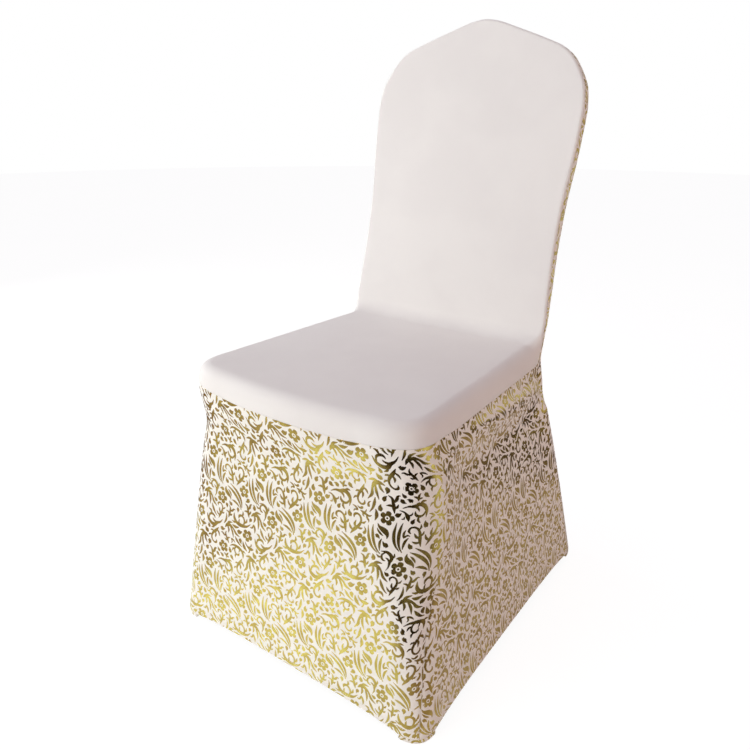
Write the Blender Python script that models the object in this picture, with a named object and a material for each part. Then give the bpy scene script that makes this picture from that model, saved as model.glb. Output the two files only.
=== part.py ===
"""Fitted stretch cover for a banquet chair: a plain panel over the seat and the front of the
back, a printed panel behind, three printed skirts and four foot pockets."""
import bpy
import numpy as np

# Overall sizes of the covered form, in metres
SEAT_TOP = 0.444
SEAT_DROP = 0.035
SEAT_FRONT_Y = -0.2606
BACK_Y = 0.1324
SEAT_FRONT_HALF = 0.2052
SEAT_FRONT_BOW = 0.008
BACK_LEAN = np.radians(12.13)
BACK_DEPTH = 0.025
WAIST_DEPTH = 0.014
WAIST_HEIGHT = -0.020
WAIST_REACH = 0.150
FOLD_RADIUS = 0.028

# Rounding of the plan at the seat and at the feet
SEAT_CORNER_FRONT_RUN = 0.085
SEAT_CORNER_SIDE_RUN = 0.063
SEAM_LIFT = 0.004
FOOT_RUN = 0.036
FRONT_FOOT_X = 0.2387
REAR_FOOT_X = 0.2254
FOOT_Y = 0.2801

# Rounded edges of the padding under the cloth
SEAT_EDGE_RADIUS = 0.021
BACK_EDGE_RADIUS = 0.004
BACK_SEAM_DEPTH = 0.006
REAR_EDGE_RADIUS = 0.008
WAIST_EDGE_RADIUS = 0.005
SEAT_PUFF = 0.006
BACK_PUFF = 0.003

# Skirt form
SKIRT_NIP = 0.011
NIP_RUN = 0.17
REAR_NIP_START = 0.08
WAIST_NIP = 0.009
REAR_LEG_BULGE = 0.004
RIDGE_DRIFT = 0.024
RIDGE_PUSH = 0.005
HEM_ARCH = 0.0045
HEM_SAG_IN = 0.003
POCKET_HEIGHT = 0.008
POCKET_EDGE = 0.003

# Cloth
CLOTH = 0.0016
HEM_CLOTH = 0.0026
HEM_FOLD = 0.023
SEAM_GAP = 0.0004

# Half-width of the back against the distance up the back from the seat
BACK_OUTLINE = (
    # height, half_width
    (0.0350, 0.1838),
    (0.0700, 0.1815),
    (0.1300, 0.1783),
    (0.1900, 0.1782),
    (0.2300, 0.1797),
    (0.2750, 0.1834),
    (0.3250, 0.1857),
    (0.3500, 0.1862),
    (0.3660, 0.1852),
    (0.3890, 0.1808),
    (0.4100, 0.1702),
    (0.4310, 0.1552),
    (0.4445, 0.1385),
    (0.4535, 0.1180),
    (0.4645, 0.0888),
    (0.4760, 0.0560),
    (0.4855, 0.0284),
    (0.4895, 0.0090),
    (0.4900, 0.0000),
)
SHOULDER_HEIGHT = 0.426

# Soft tension folds of the skirts, from a start to an end place: distance round the seam from
# the front centre and distance below the seam, with half-width and height of the ridge
TENSION_FOLDS = (
    # start_round, start_below, end_round, end_below, half_width, height
    (0.290, 0.010, 0.330, 0.090, 0.020, -0.0035),
    (0.250, 0.020, 0.262, 0.140, 0.018, 0.0030),
    (0.330, 0.020, 0.600, 0.055, 0.022, 0.0030),
    (-0.245, 0.015, -0.272, 0.140, 0.020, 0.0030),
    (-0.180, 0.010, -0.205, 0.090, 0.024, -0.0025),
    (-0.300, 0.020, -0.350, 0.110, 0.024, -0.0030),
    (-0.360, 0.030, -0.600, 0.070, 0.024, 0.0025),
)

# Mesh counts
COLUMNS = 20
CORNER_STEPS = 2
SEAT_ROWS = 10
FOLD_ROWS = 6
BACK_ROWS = 14
EDGE_ROWS = 4
DROP_ROWS = 2
WALL_ROWS = 2
REAR_EDGE_ROWS = 3
SIDE_FOOT_STEPS = 2
WAIST = COLUMNS + CORNER_STEPS + SEAT_ROWS + FOLD_ROWS // 2
SKIRT_LEVELS = (0.0, 0.025, 0.06, 0.1, 0.145, 0.19, 0.24, 0.3, 0.36, 0.43,
                0.5, 0.57, 0.64, 0.71, 0.78, 0.85, 0.91, 0.965, 1.0)

# Finishes
IVORY = (0.86, 0.82, 0.80)
IVORY_PRINT = (0.80, 0.70, 0.48)

FOLD_ANGLE = np.pi / 2 - BACK_LEAN
FOLD_TANGENT = FOLD_RADIUS * np.tan(FOLD_ANGLE / 2)
FOLD_START = BACK_Y - FOLD_TANGENT
FOLD_END = FOLD_START + FOLD_RADIUS * FOLD_ANGLE
SEAM_Z = SEAT_TOP - SEAT_DROP
UP_BACK = np.array([0.0, np.sin(BACK_LEAN), np.cos(BACK_LEAN)])
BEHIND = np.array([0.0, np.cos(BACK_LEAN), -np.sin(BACK_LEAN)])


def smooth(value):
    """Ease a value from 0 to 1 with flat ends."""
    x = np.clip(value, 0.0, 1.0)
    return x * x * (3.0 - 2.0 * x)


def spline(points, steps=8):
    """Run a smooth curve through a list of points."""
    pts = np.asarray(points, float)
    ends = np.concatenate([[2 * pts[0] - pts[1]], pts, [2 * pts[-1] - pts[-2]]])
    out = []
    for k in range(len(pts) - 1):
        a, b, c, d = ends[k:k + 4]
        for t in np.arange(steps) / steps:
            out.append(0.5 * (2 * b + (c - a) * t + (2 * a - 5 * b + 4 * c - d) * t * t
                              + (3 * b - a - 3 * c + d) * t ** 3))
    out.append(pts[-1])
    return np.array(out)


def along(curve, fractions):
    """Points of a polyline at fractions of its length."""
    seg = np.linalg.norm(np.diff(curve, axis=0), axis=1)
    run = np.concatenate([[0.0], np.cumsum(seg)])
    at = np.asarray(fractions) * run[-1]
    return np.stack([np.interp(at, run, curve[:, k]) for k in range(curve.shape[1])], 1)


def even(curve, count):
    """Evenly spaced points of a polyline, ends included."""
    return along(curve, np.linspace(0.0, 1.0, count + 1))


def corner(start, control, end, fractions):
    """Points of a rounded corner drawn from start to end inside its control point."""
    t = np.asarray(fractions)[:, None]
    return (1 - t) ** 2 * start + 2 * t * (1 - t) * control + t * t * end


def outline_right():
    """Stations of the right half of the plain panel in its unrolled plane.

    Returns front, side and crown stations: (half-width, distance) pairs."""
    seat_x = 0.1836
    tip = np.array([SEAT_FRONT_HALF, SEAT_FRONT_Y])
    rear = np.array([seat_x, FOLD_START])
    lean_in = (rear - tip) / np.linalg.norm(rear - tip)
    begin = tip - np.array([SEAT_CORNER_FRONT_RUN, 0.0])
    finish = tip + lean_in * SEAT_CORNER_SIDE_RUN
    centre = np.array([0.0, SEAT_FRONT_Y - SEAT_FRONT_BOW])
    half = COLUMNS // 2 - CORNER_STEPS
    reach = np.linspace(0.0, 1.0, half + 1)
    straight = centre + (begin - centre) * reach[:, None]
    straight[:, 1] = SEAT_FRONT_Y - SEAT_FRONT_BOW * (1.0 - reach ** 2)
    turn = corner(begin, tip, finish, np.linspace(0.0, 1.0, 2 * CORNER_STEPS + 1))
    front = np.concatenate([straight, turn[1:CORNER_STEPS + 1]])
    seat = finish + (rear - finish) * np.linspace(0.0, 1.0, SEAT_ROWS + 1)[:, None]
    table = np.array(BACK_OUTLINE)
    up = FOLD_END + table[:, 0] - FOLD_TANGENT
    back = spline(np.concatenate([[[seat_x, FOLD_END]], np.stack([table[:, 1], up], 1)]))
    shoulder = FOLD_END + SHOULDER_HEIGHT - FOLD_TANGENT
    split = int(np.argmin(np.abs(back[:, 1] - shoulder)))
    fold = np.stack([np.full(FOLD_ROWS + 1, seat_x),
                     np.linspace(FOLD_START, FOLD_END, FOLD_ROWS + 1)], 1)
    rise = even(back[:split + 1], BACK_ROWS)
    crown = even(back[split:], COLUMNS // 2)
    side = np.concatenate([turn[CORNER_STEPS:], seat[1:], fold[1:], rise[1:]])
    return front, side, crown


def mirrored(points):
    """Points of the left half in order, from those of the right half."""
    left = points[::-1].copy()
    left[:, 0] *= -1.0
    return left


def outward(loop):
    """Outward directions of a closed loop that runs counter-clockwise."""
    step = np.roll(loop, -1, axis=0) - np.roll(loop, 1, axis=0)
    out = np.stack([step[:, 1], -step[:, 0]], 1)
    return out / np.linalg.norm(out, axis=1)[:, None]


def outline_loop():
    """Closed outline of the plain panel, counter-clockwise from its front-left corner.

    Returns the loop and the number of rows along a side."""
    front, side, crown = outline_right()
    front_row = np.concatenate([mirrored(front)[:-1], front])
    crown_row = np.concatenate([crown[:-1], mirrored(crown)])
    left = mirrored(side)
    loop = np.concatenate([front_row[:-1], side[:-1], crown_row[:-1], left[:-1]])
    return loop, len(side) - 1


def lay(flat):
    """Lay a point of the unrolled plane on the seat, the fold or the back."""
    x, s = flat
    if s <= FOLD_START:
        return np.array([x, s, SEAT_TOP]), np.array([0.0, 0.0, 1.0])
    turn = min((s - FOLD_START) / FOLD_RADIUS, FOLD_ANGLE)
    point = np.array([x, FOLD_START + FOLD_RADIUS * np.sin(turn),
                      SEAT_TOP + FOLD_RADIUS * (1 - np.cos(turn))])
    point += UP_BACK * max(0.0, s - FOLD_END)
    return point, np.array([0.0, -np.sin(turn), np.cos(turn)])


def seam_point(flat):
    """Point of the seam between plain and printed cloth under a station."""
    x, s = flat
    start = np.array([x, FOLD_START, SEAM_Z])
    if s <= FOLD_START:
        corner_share = smooth((abs(x) - 0.09) / 0.08) * smooth((SEAT_FRONT_Y + 0.13 - s) / 0.08)
        return np.array([x, s, SEAM_Z + SEAM_LIFT * corner_share])
    bend = BACK_Y - SEAT_DROP * np.tan(BACK_LEAN) + BACK_SEAM_DEPTH / np.cos(BACK_LEAN)
    middle = np.array([x, bend, SEAM_Z])
    end = lay((x, FOLD_END))[0] + BEHIND * BACK_SEAM_DEPTH
    if s >= FOLD_END:
        return lay(flat)[0] + BEHIND * BACK_SEAM_DEPTH
    t = (s - FOLD_START) / (FOLD_END - FOLD_START)
    return ((1 - t) ** 3 * start + 3 * t * (1 - t) * middle + t ** 3 * end)


def edge_radius(s):
    """Rounding of the edge at a distance along the panel."""
    ease = smooth((s - FOLD_START) / (FOLD_END - FOLD_START))
    return SEAT_EDGE_RADIUS + (BACK_EDGE_RADIUS - SEAT_EDGE_RADIUS) * ease


def plain_surface():
    """Interior grid and border rows of the plain panel.

    Returns the grid (rows, columns), the border rows as closed loops, and the seam loop."""
    loop, rows = outline_loop()
    normals = outward(loop)
    inset = np.array([edge_radius(s) for s in loop[:, 1]])
    edge = loop - normals * inset[:, None]
    n = COLUMNS
    front_edge = edge[:n + 1]
    side_edge = edge[n:n + rows + 1]
    crown_edge = edge[n + rows:2 * n + rows + 1][::-1]
    weight = np.linspace(-1.0, 1.0, n + 1)
    grid = np.zeros((rows + 1, n + 1, 3))
    first, last = side_edge[0], side_edge[-1]
    for j in range(rows + 1):
        x, s = side_edge[j]
        near = max(0.0, 1.0 - (s - first[1]) / 0.25) ** 1.5
        far = smooth((s - FOLD_END - 0.16) / (last[1] - FOLD_END - 0.16))
        for i in range(n + 1):
            base = np.array([x * weight[i], s])
            base += near * (front_edge[i] - np.array([first[0] * weight[i], first[1]]))
            base += far * (crown_edge[i] - np.array([last[0] * weight[i], last[1]]))
            point, normal = lay(base)
            seat_run = np.clip((base[1] - SEAT_FRONT_Y) / (FOLD_START - SEAT_FRONT_Y), 0.0, 1.0)
            back_run = np.clip((base[1] - FOLD_END) / (last[1] - FOLD_END), 0.0, 1.0)
            puff = SEAT_PUFF * np.sin(np.pi * seat_run) + BACK_PUFF * np.sin(np.pi * back_run)
            puff *= (1.0 - weight[i] ** 2) * (1.0 - near ** 4) * (1.0 - far ** 4)
            grid[j, i] = point + normal * puff
    border = [np.array([lay(e)[0] for e in edge])]
    for k in range(1, EDGE_ROWS + 1):
        turn = 0.5 * np.pi * k / EDGE_ROWS
        ring = []
        for o, normal2, r in zip(loop, normals, inset):
            point, normal = lay(o - normal2 * r * (1.0 - np.sin(turn)))
            ring.append(point - normal * r * (1.0 - np.cos(turn)))
        border.append(np.array(ring))
    seam = np.array([seam_point(o) for o in loop])
    for k in range(1, DROP_ROWS + 1):
        border.append(border[EDGE_ROWS] + (seam - border[EDGE_ROWS]) * k / DROP_ROWS)
    return grid, border, seam


def rear_border(flat, normal2, seam):
    """Points from the seam round the side of the back to its rear face."""
    x, s = flat
    t = s - FOLD_END + FOLD_TANGENT
    origin = np.array([0.0, BACK_Y, SEAT_TOP])

    ease = smooth((t - WAIST_HEIGHT) / WAIST_REACH)
    deep = WAIST_DEPTH + (BACK_DEPTH - WAIST_DEPTH) * ease
    radius = WAIST_EDGE_RADIUS + (REAR_EDGE_RADIUS - WAIST_EDGE_RADIUS) * ease

    def at(inset, depth):
        return (origin + np.array([x - normal2[0] * inset, 0.0, 0.0])
                + UP_BACK * (t - normal2[1] * inset) + BEHIND * depth)

    wall = at(0.0, deep - radius)
    points = [seam + (wall - seam) * k / WALL_ROWS for k in range(WALL_ROWS + 1)]
    for k in range(1, REAR_EDGE_ROWS + 1):
        turn = 0.5 * np.pi * k / REAR_EDGE_ROWS
        points.append(at(radius * (1 - np.cos(turn)), deep - radius * (1 - np.sin(turn))))
    return points


def fold_height(round_at, below):
    """Height of the tension folds at a place on the skirts."""
    here = np.array([round_at, below])
    total = 0.0
    for start_round, start_below, end_round, end_below, width, height in TENSION_FOLDS:
        start = np.array([start_round, start_below])
        way = np.array([end_round, end_below]) - start
        run = np.clip((here - start) @ way / (way @ way), 0.0, 1.0)
        away = np.linalg.norm(here - start - way * run) / width
        total += height * np.exp(-away ** 2) * np.sin(np.pi * (0.1 + 0.8 * run))
    return total


def nip(down, start):
    """Share of the nip under the seat at a fraction of the skirt's height."""
    full = start + NIP_RUN
    if down < full:
        return smooth((down - start) / NIP_RUN)
    return (1.0 - (down - full) / (1.0 - full)) ** 1.6


def foot_half(x, y, first):
    """First or second half of the rounding round a foot, counter-clockwise."""
    tip = np.array([x, y])
    along_x = np.array([np.sign(x) * FOOT_RUN, 0.0])
    along_y = np.array([0.0, np.sign(y) * FOOT_RUN])
    ends = (tip - along_x, tip - along_y)
    if x * y > 0:
        ends = ends[::-1]
    span = (0.0, 0.5) if first else (0.5, 1.0)
    dense = corner(ends[0], tip, ends[1], np.linspace(*span, 17))
    return dense


def hem_ring():
    """Lower edge of the skirts: stations counter-clockwise from the front-left seam."""
    turn = 2 * CORNER_STEPS
    span = COLUMNS - turn
    wall = WALL_ROWS + REAR_EDGE_ROWS
    side = SEAT_ROWS + FOLD_ROWS // 2 - 2 * SIDE_FOOT_STEPS
    fx, rx, y = FRONT_FOOT_X, REAR_FOOT_X, FOOT_Y
    ring = []
    rise = []

    def foot(x, at_y, first, steps):
        ring.extend(even(foot_half(x, at_y, first), steps)[:-1])
        rise.extend([0.0] * steps)

    def straight(start, end, steps, inward):
        reach = np.arange(steps) / steps
        arch = 1.0 - np.abs(2 * reach - 1) ** 4
        for k in range(steps):
            ring.append(np.array(start) + (np.array(end) - np.array(start)) * reach[k]
                        + np.array(inward) * arch[k] * HEM_SAG_IN)
            rise.append(arch[k] * HEM_ARCH)

    foot(-fx, -y, False, turn)
    straight((-fx + FOOT_RUN, -y), (fx - FOOT_RUN, -y), span, (0.0, 1.0))
    foot(fx, -y, True, turn)
    foot(fx, -y, False, SIDE_FOOT_STEPS)
    straight((fx, -y + FOOT_RUN), (rx, y - FOOT_RUN), side, (-1.0, 0.0))
    foot(rx, y, True, SIDE_FOOT_STEPS)
    foot(rx, y, False, wall)
    straight((rx - FOOT_RUN, y), (-rx + FOOT_RUN, y), COLUMNS, (0.0, -1.0))
    foot(-rx, y, True, wall)
    foot(-rx, y, False, SIDE_FOOT_STEPS)
    straight((-rx, y - FOOT_RUN), (-fx, -y + FOOT_RUN), side, (1.0, 0.0))
    foot(-fx, -y, True, SIDE_FOOT_STEPS)
    plan = np.array(ring)
    return np.column_stack([plan, POCKET_HEIGHT + np.array(rise)])


def skirt_rows(top):
    """Rows of the skirts from the seam ring down to the hem ring."""
    base = hem_ring()
    closed = np.concatenate([top, top[:1]])
    run = np.concatenate([[0.0], np.cumsum(np.linalg.norm(np.diff(closed, axis=0), axis=1))])
    front = 2 * CORNER_STEPS + COLUMNS
    around = run[:-1] - 0.5 * run[front]
    around = np.where(around > 0.5 * run[-1], around - run[-1], around)
    side = SEAT_ROWS + FOLD_ROWS // 2
    legs = (front + side, front + side + 2 * (WALL_ROWS + REAR_EDGE_ROWS) + COLUMNS)
    station = np.arange(len(top))
    near_leg = np.clip(1.0 - np.minimum(abs(station - legs[0]), abs(station - legs[1])) / 5.0,
                       0.0, 1.0)
    near_ridge = np.clip(1.0 - abs(station - front) / 4.0, 0.0, 1.0)
    back_run = np.clip((top[:, 1] - SEAT_FRONT_Y) / (BACK_Y - SEAT_FRONT_Y), 0.0, 1.0)
    rows = []
    for down in SKIRT_LEVELS:
        row = top + (base - top) * down
        step = np.roll(row, -1, axis=0) - np.roll(row, 1, axis=0)
        out = np.stack([step[:, 1], -step[:, 0], np.zeros(len(row))], 1)
        out /= np.linalg.norm(out, axis=1)[:, None]
        waist = WAIST_NIP * np.sin(np.pi * min(1.0, down / 0.22))
        drift = np.sin(np.pi * min(1.0, down / 0.62)) ** 1.5
        for k in range(len(row)):
            start = REAR_NIP_START * back_run[k]
            push = -SKIRT_NIP * nip(down, start) * (1.0 - near_leg[k]) * (1.0 - near_ridge[k])
            push += (REAR_LEG_BULGE * np.sin(np.pi * down) - waist) * near_leg[k]
            folds = fold_height(around[k], SEAM_Z * down) * smooth(down / 0.06)
            row[k] += out[k] * (push + folds * smooth((1.0 - down) / 0.1))
            row[k] += np.array([RIDGE_PUSH, RIDGE_DRIFT, 0.0]) * drift * near_ridge[k]
        rows.append(row)
    return np.array(rows)


class Cloth:
    """Outer surface of one cloth, gathered from patches of quads."""

    def __init__(self):
        self.points = []
        self.index = {}
        self.faces = []

    def place(self, point):
        """Index of a point, shared with an equal one."""
        key = tuple(np.round(point, 6) + 0.0)
        if key not in self.index:
            self.index[key] = len(self.points)
            self.points.append(np.array(point, float))
        return self.index[key]

    def patch(self, rows, rows_first=False):
        """Add a grid; its outer side faces the cross product of column and row steps,
        or of row and column steps when rows_first is set."""
        for j in range(len(rows) - 1):
            for i in range(len(rows[j]) - 1):
                quad = [rows[j][i], rows[j][i + 1], rows[j + 1][i + 1], rows[j + 1][i]]
                if rows_first:
                    quad.reverse()
                face = []
                for point in quad:
                    vertex = self.place(point)
                    if vertex not in face:
                        face.append(vertex)
                if len(face) > 2:
                    self.faces.append(face)

    def face_normals(self):
        """Area-weighted normal of each face."""
        pts = np.array(self.points)
        out = []
        for face in self.faces:
            diagonal = pts[face[2]] - pts[face[0]]
            other = pts[face[-1]] - pts[face[1]]
            out.append(np.cross(diagonal, other) * 0.5)
        return out


def shared_normals(cloths):
    """Point normals averaged over every cloth that meets at the point."""
    total = {}
    for cloth in cloths:
        keys = list(cloth.index)
        for face, normal in zip(cloth.faces, cloth.face_normals()):
            for vertex in face:
                total[keys[vertex]] = total.get(keys[vertex], 0.0) + normal
    for key, value in total.items():
        if POCKET_EDGE < key[2] < POCKET_HEIGHT + HEM_ARCH + SEAM_GAP:
            value[2] = 0.0
    return {key: value / np.linalg.norm(value) for key, value in total.items()}


def boundary(faces):
    """Directed edges that belong to one face only."""
    edges = {}
    for face in faces:
        for a, b in zip(face, face[1:] + face[:1]):
            edges[(a, b)] = True
    return [edge for edge in edges if edge[::-1] not in edges]


def solid(name, cloth, normals, thickness, finish):
    """Give a cloth its thickness inwards and a gap of half a seam at its edges."""
    keys = list(cloth.index)
    normal = np.array([normals[key] for key in keys])
    outer = np.array(cloth.points)
    rim = boundary(cloth.faces)
    inward = {}
    for a, b in rim:
        edge = outer[b] - outer[a]
        edge /= np.linalg.norm(edge)
        for vertex in (a, b):
            turn = np.cross(normal[vertex], edge)
            inward.setdefault(vertex, []).append(turn / np.linalg.norm(turn))
    shift = np.zeros_like(outer)
    for vertex, ways in inward.items():
        one, two = ways[0], ways[-1]
        shift[vertex] = 0.5 * SEAM_GAP * (one + two) / (1.0 + one @ two)
    outer = outer + shift
    depth = np.array([thickness(point) for point in outer])
    inner = outer - normal * depth[:, None]
    count = len(outer)
    faces = [list(face) for face in cloth.faces]
    faces += [[v + count for v in reversed(face)] for face in cloth.faces]
    faces += [[b, a, a + count, b + count] for a, b in rim]
    mesh = bpy.data.meshes.new(name)
    mesh.from_pydata([tuple(p) for p in np.concatenate([outer, inner])], [], faces)
    mesh.polygons.foreach_set("use_smooth", [True] * len(faces))
    mesh.materials.append(finish)
    mesh.update()
    body = bpy.data.objects.new(name, mesh)
    bpy.context.scene.collection.objects.link(body)
    return body


def material(name, colour, roughness, metallic):
    """Principled finish of a cloth."""
    finish = bpy.data.materials.new(name)
    finish.use_nodes = True
    shader = finish.node_tree.nodes["Principled BSDF"]
    shader.inputs["Base Color"].default_value = (*colour, 1.0)
    shader.inputs["Roughness"].default_value = roughness
    shader.inputs["Metallic"].default_value = metallic
    return finish


def even_cloth(point):
    """Thickness of cloth without a hem."""
    return CLOTH


def hemmed_cloth(point):
    """Thickness of a skirt, doubled along its turned hem."""
    return HEM_CLOTH if point[2] < HEM_FOLD else CLOTH


def plain_cloth(grid, border):
    """Panel over the seat and the front of the back."""
    cloth = Cloth()
    cloth.patch(grid)
    rings = [np.concatenate([ring, ring[:1]]) for ring in border]
    cloth.patch(rings, rows_first=True)
    return cloth


def back_cloth(seam):
    """Panel behind the back and over its edges, as far down as the waist.

    Returns the cloth, its border rows from right waist to left waist, and its rear grid."""
    loop, rows = outline_loop()
    normals = outward(loop)
    begin = WAIST
    start = loop[begin][1]
    path = []
    for k in range(begin, len(loop) - (begin - COLUMNS) + 1):
        flat = loop[k].copy()
        way = normals[k]
        if flat[1] < FOLD_END:
            share = (flat[1] - start) / (FOLD_END - start)
            flat[1] = FOLD_END + (WAIST_HEIGHT - FOLD_TANGENT) * (1.0 - share)
            way = np.array([np.sign(flat[0]), 0.0])
        path.append(rear_border(flat, way, seam[k]))
    path = np.array(path)
    edge = path[:, -1]
    last = rows - (begin - COLUMNS)
    right = edge[:last + 1]
    left = edge[::-1][:last + 1]
    crown = edge[last:last + COLUMNS + 1][::-1]
    grid = np.zeros((last + 1, COLUMNS + 1, 3))
    for j in range(last + 1):
        far = smooth((j / last - 0.35) / 0.65)
        for i, w in enumerate(np.linspace(0.0, 1.0, COLUMNS + 1)):
            top = left[last] * (1 - w) + right[last] * w
            base = left[j] * (1 - w) + right[j] * w + far * (crown[i] - top)
            puff = BACK_PUFF * np.sin(np.pi * j / last) * 4 * w * (1 - w) * (1 - far ** 4)
            grid[j, i] = base + BEHIND * puff
    cloth = Cloth()
    cloth.patch(path)
    cloth.patch(grid, rows_first=True)
    return cloth, path, grid


def skirt_cloths(seam, path, rear):
    """Skirts, and the rows of the back panel below the waist.

    Returns them with the hem ring and the stations of its four seams."""
    count = len(seam)
    ridge = COLUMNS + CORNER_STEPS
    front = np.concatenate([seam[count - CORNER_STEPS:], seam[:ridge]])
    right = seam[ridge:WAIST]
    behind = np.concatenate([path[0][:-1], rear[0][::-1], path[-1][::-1][1:-1]])
    left = seam[count - (WAIST - COLUMNS):count - CORNER_STEPS]
    rows = skirt_rows(np.concatenate([front, right, behind, left]))
    closed = np.concatenate([rows, rows[:, :1]], axis=1)
    a = len(front)
    b = a + len(right)
    c = b + len(behind)
    spans = {"skirt_front": (0, a), "skirt_right": (a, b), "back_panel": (b, c),
             "skirt_left": (c, len(rows[0]))}
    patches = {name: closed[:, start:end + 1] for name, (start, end) in spans.items()}
    return patches, rows[-1], (0, a, b, c)


def pocket_cloth(rim, inner):
    """Foot pocket under a corner: a shallow cup of cloth."""
    loop = np.concatenate([rim, inner])
    centre = loop.mean(axis=0)
    rings = []
    for height, inset in ((1.0, 0.0), (POCKET_EDGE / POCKET_HEIGHT, 0.0),
                          (0.0, POCKET_EDGE)):
        away = loop - centre
        away[:, 2] = 0.0
        size = np.linalg.norm(away, axis=1)[:, None]
        ring = centre + away * (size - inset) / size
        ring[:, 2] = loop[:, 2] * height
        rings.append(ring)
    floor = centre.copy()
    floor[2] = 0.0
    for share in (0.5, 0.0):
        rings.append(floor + (rings[2] - floor) * share)
    cloth = Cloth()
    cloth.patch([np.concatenate([ring, ring[:1]]) for ring in rings], rows_first=True)
    return cloth


def foot_pockets(hem, seams):
    """Foot pockets under the four corners of the hem ring."""
    start, a, b, c = seams
    turn = 2 * CORNER_STEPS
    wall = WALL_ROWS + REAR_EDGE_ROWS
    spans = {"foot_pocket_front_right": (a - turn, a + SIDE_FOOT_STEPS),
             "foot_pocket_rear_right": (b - SIDE_FOOT_STEPS, b + wall),
             "foot_pocket_rear_left": (c - wall, c + SIDE_FOOT_STEPS),
             "foot_pocket_front_left": (start - SIDE_FOOT_STEPS, start + turn)}
    pockets = {}
    for name, (first, last) in spans.items():
        rim = np.array([hem[k % len(hem)] for k in range(first, last + 1)])
        middle = rim.mean(axis=0)
        foot_x = FRONT_FOOT_X if middle[1] < 0 else REAR_FOOT_X
        tip = np.array([np.sign(middle[0]) * foot_x, np.sign(middle[1]) * FOOT_Y, 0.0])
        inside = rim[0] + rim[-1] - tip
        inside[2] = POCKET_HEIGHT
        inner = np.array([(rim[-1] + inside) * 0.5, inside, (inside + rim[0]) * 0.5])
        pockets[name] = pocket_cloth(rim, inner)
    return pockets


def main():
    """Build the nine cloths."""
    for item in list(bpy.data.objects):
        bpy.data.objects.remove(item)
    plain = material("plain_knit", IVORY, 0.62, 0.0)
    printed = material("foil_printed_knit", IVORY_PRINT, 0.45, 0.25)
    grid, border, seam = plain_surface()
    back, path, rear = back_cloth(seam)
    patches, hem, seams = skirt_cloths(seam, path, rear)
    sewn = {"seat_and_front_back": plain_cloth(grid, border), "back_panel": back}
    for name, rows in patches.items():
        sewn.setdefault(name, Cloth()).patch(rows, rows_first=True)
    normals = shared_normals(sewn.values())
    for name, cloth in sewn.items():
        panel = name == "seat_and_front_back"
        solid(name, cloth, normals, even_cloth if panel else hemmed_cloth,
              plain if panel else printed)
    for name, cloth in foot_pockets(hem, seams).items():
        solid(name, cloth, shared_normals([cloth]), even_cloth, printed)


main()
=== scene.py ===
"""Looks of a fitted stretch chair cover.

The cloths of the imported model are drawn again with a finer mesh, in the same places: a plain
panel over the seat and the front of the back, a printed panel behind it, three printed skirts and
four foot pockets. A foil print lies on the printed cloths, and thread holds the hems. A pale
floor, soft lights and the camera finish the scene.
"""
import logging
import math
from dataclasses import dataclass, field
from enum import Enum
from typing import Iterable, Sequence

import bpy
import numpy as np
from bpy.types import Material, Node, NodeSocket as Socket, Object
from mathutils import Matrix, Vector
from mathutils.bvhtree import BVHTree
from mathutils.kdtree import KDTree


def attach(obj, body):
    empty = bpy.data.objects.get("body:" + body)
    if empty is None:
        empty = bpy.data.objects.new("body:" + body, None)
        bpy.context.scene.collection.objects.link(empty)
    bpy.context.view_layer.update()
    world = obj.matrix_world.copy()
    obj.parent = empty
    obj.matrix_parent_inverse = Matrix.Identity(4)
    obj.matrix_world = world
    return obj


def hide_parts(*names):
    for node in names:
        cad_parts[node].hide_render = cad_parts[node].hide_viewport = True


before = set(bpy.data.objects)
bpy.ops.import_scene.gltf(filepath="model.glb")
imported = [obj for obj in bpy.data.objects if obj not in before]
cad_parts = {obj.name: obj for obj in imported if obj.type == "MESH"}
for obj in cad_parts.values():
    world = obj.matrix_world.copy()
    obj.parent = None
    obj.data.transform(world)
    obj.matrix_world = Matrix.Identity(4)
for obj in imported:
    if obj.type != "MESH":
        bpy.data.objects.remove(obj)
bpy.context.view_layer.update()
BODY = "root"
LOG = logging.getLogger("chair_cover")
MM = 0.001
LOOP_WIDTH = 0.0008
LOOP_HEIGHT = 0.0006
Array = np.ndarray
Pair = tuple[float, float]
Triple = tuple[float, float, float]
Ribbon = tuple[Array, bool]


class Slot(Enum):
    """Material slots of the record."""

    PLAIN = "plain_knit"
    PRINTED = "foil_printed_knit"


class Side(Enum):
    """The three printed skirts."""

    FRONT = "skirt_front"
    RIGHT = "skirt_right"
    LEFT = "skirt_left"


class Foot(Enum):
    """The four foot pockets."""

    FRONT_RIGHT = "foot_pocket_front_right"
    REAR_RIGHT = "foot_pocket_rear_right"
    REAR_LEFT = "foot_pocket_rear_left"
    FRONT_LEFT = "foot_pocket_front_left"


# Sizes


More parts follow.
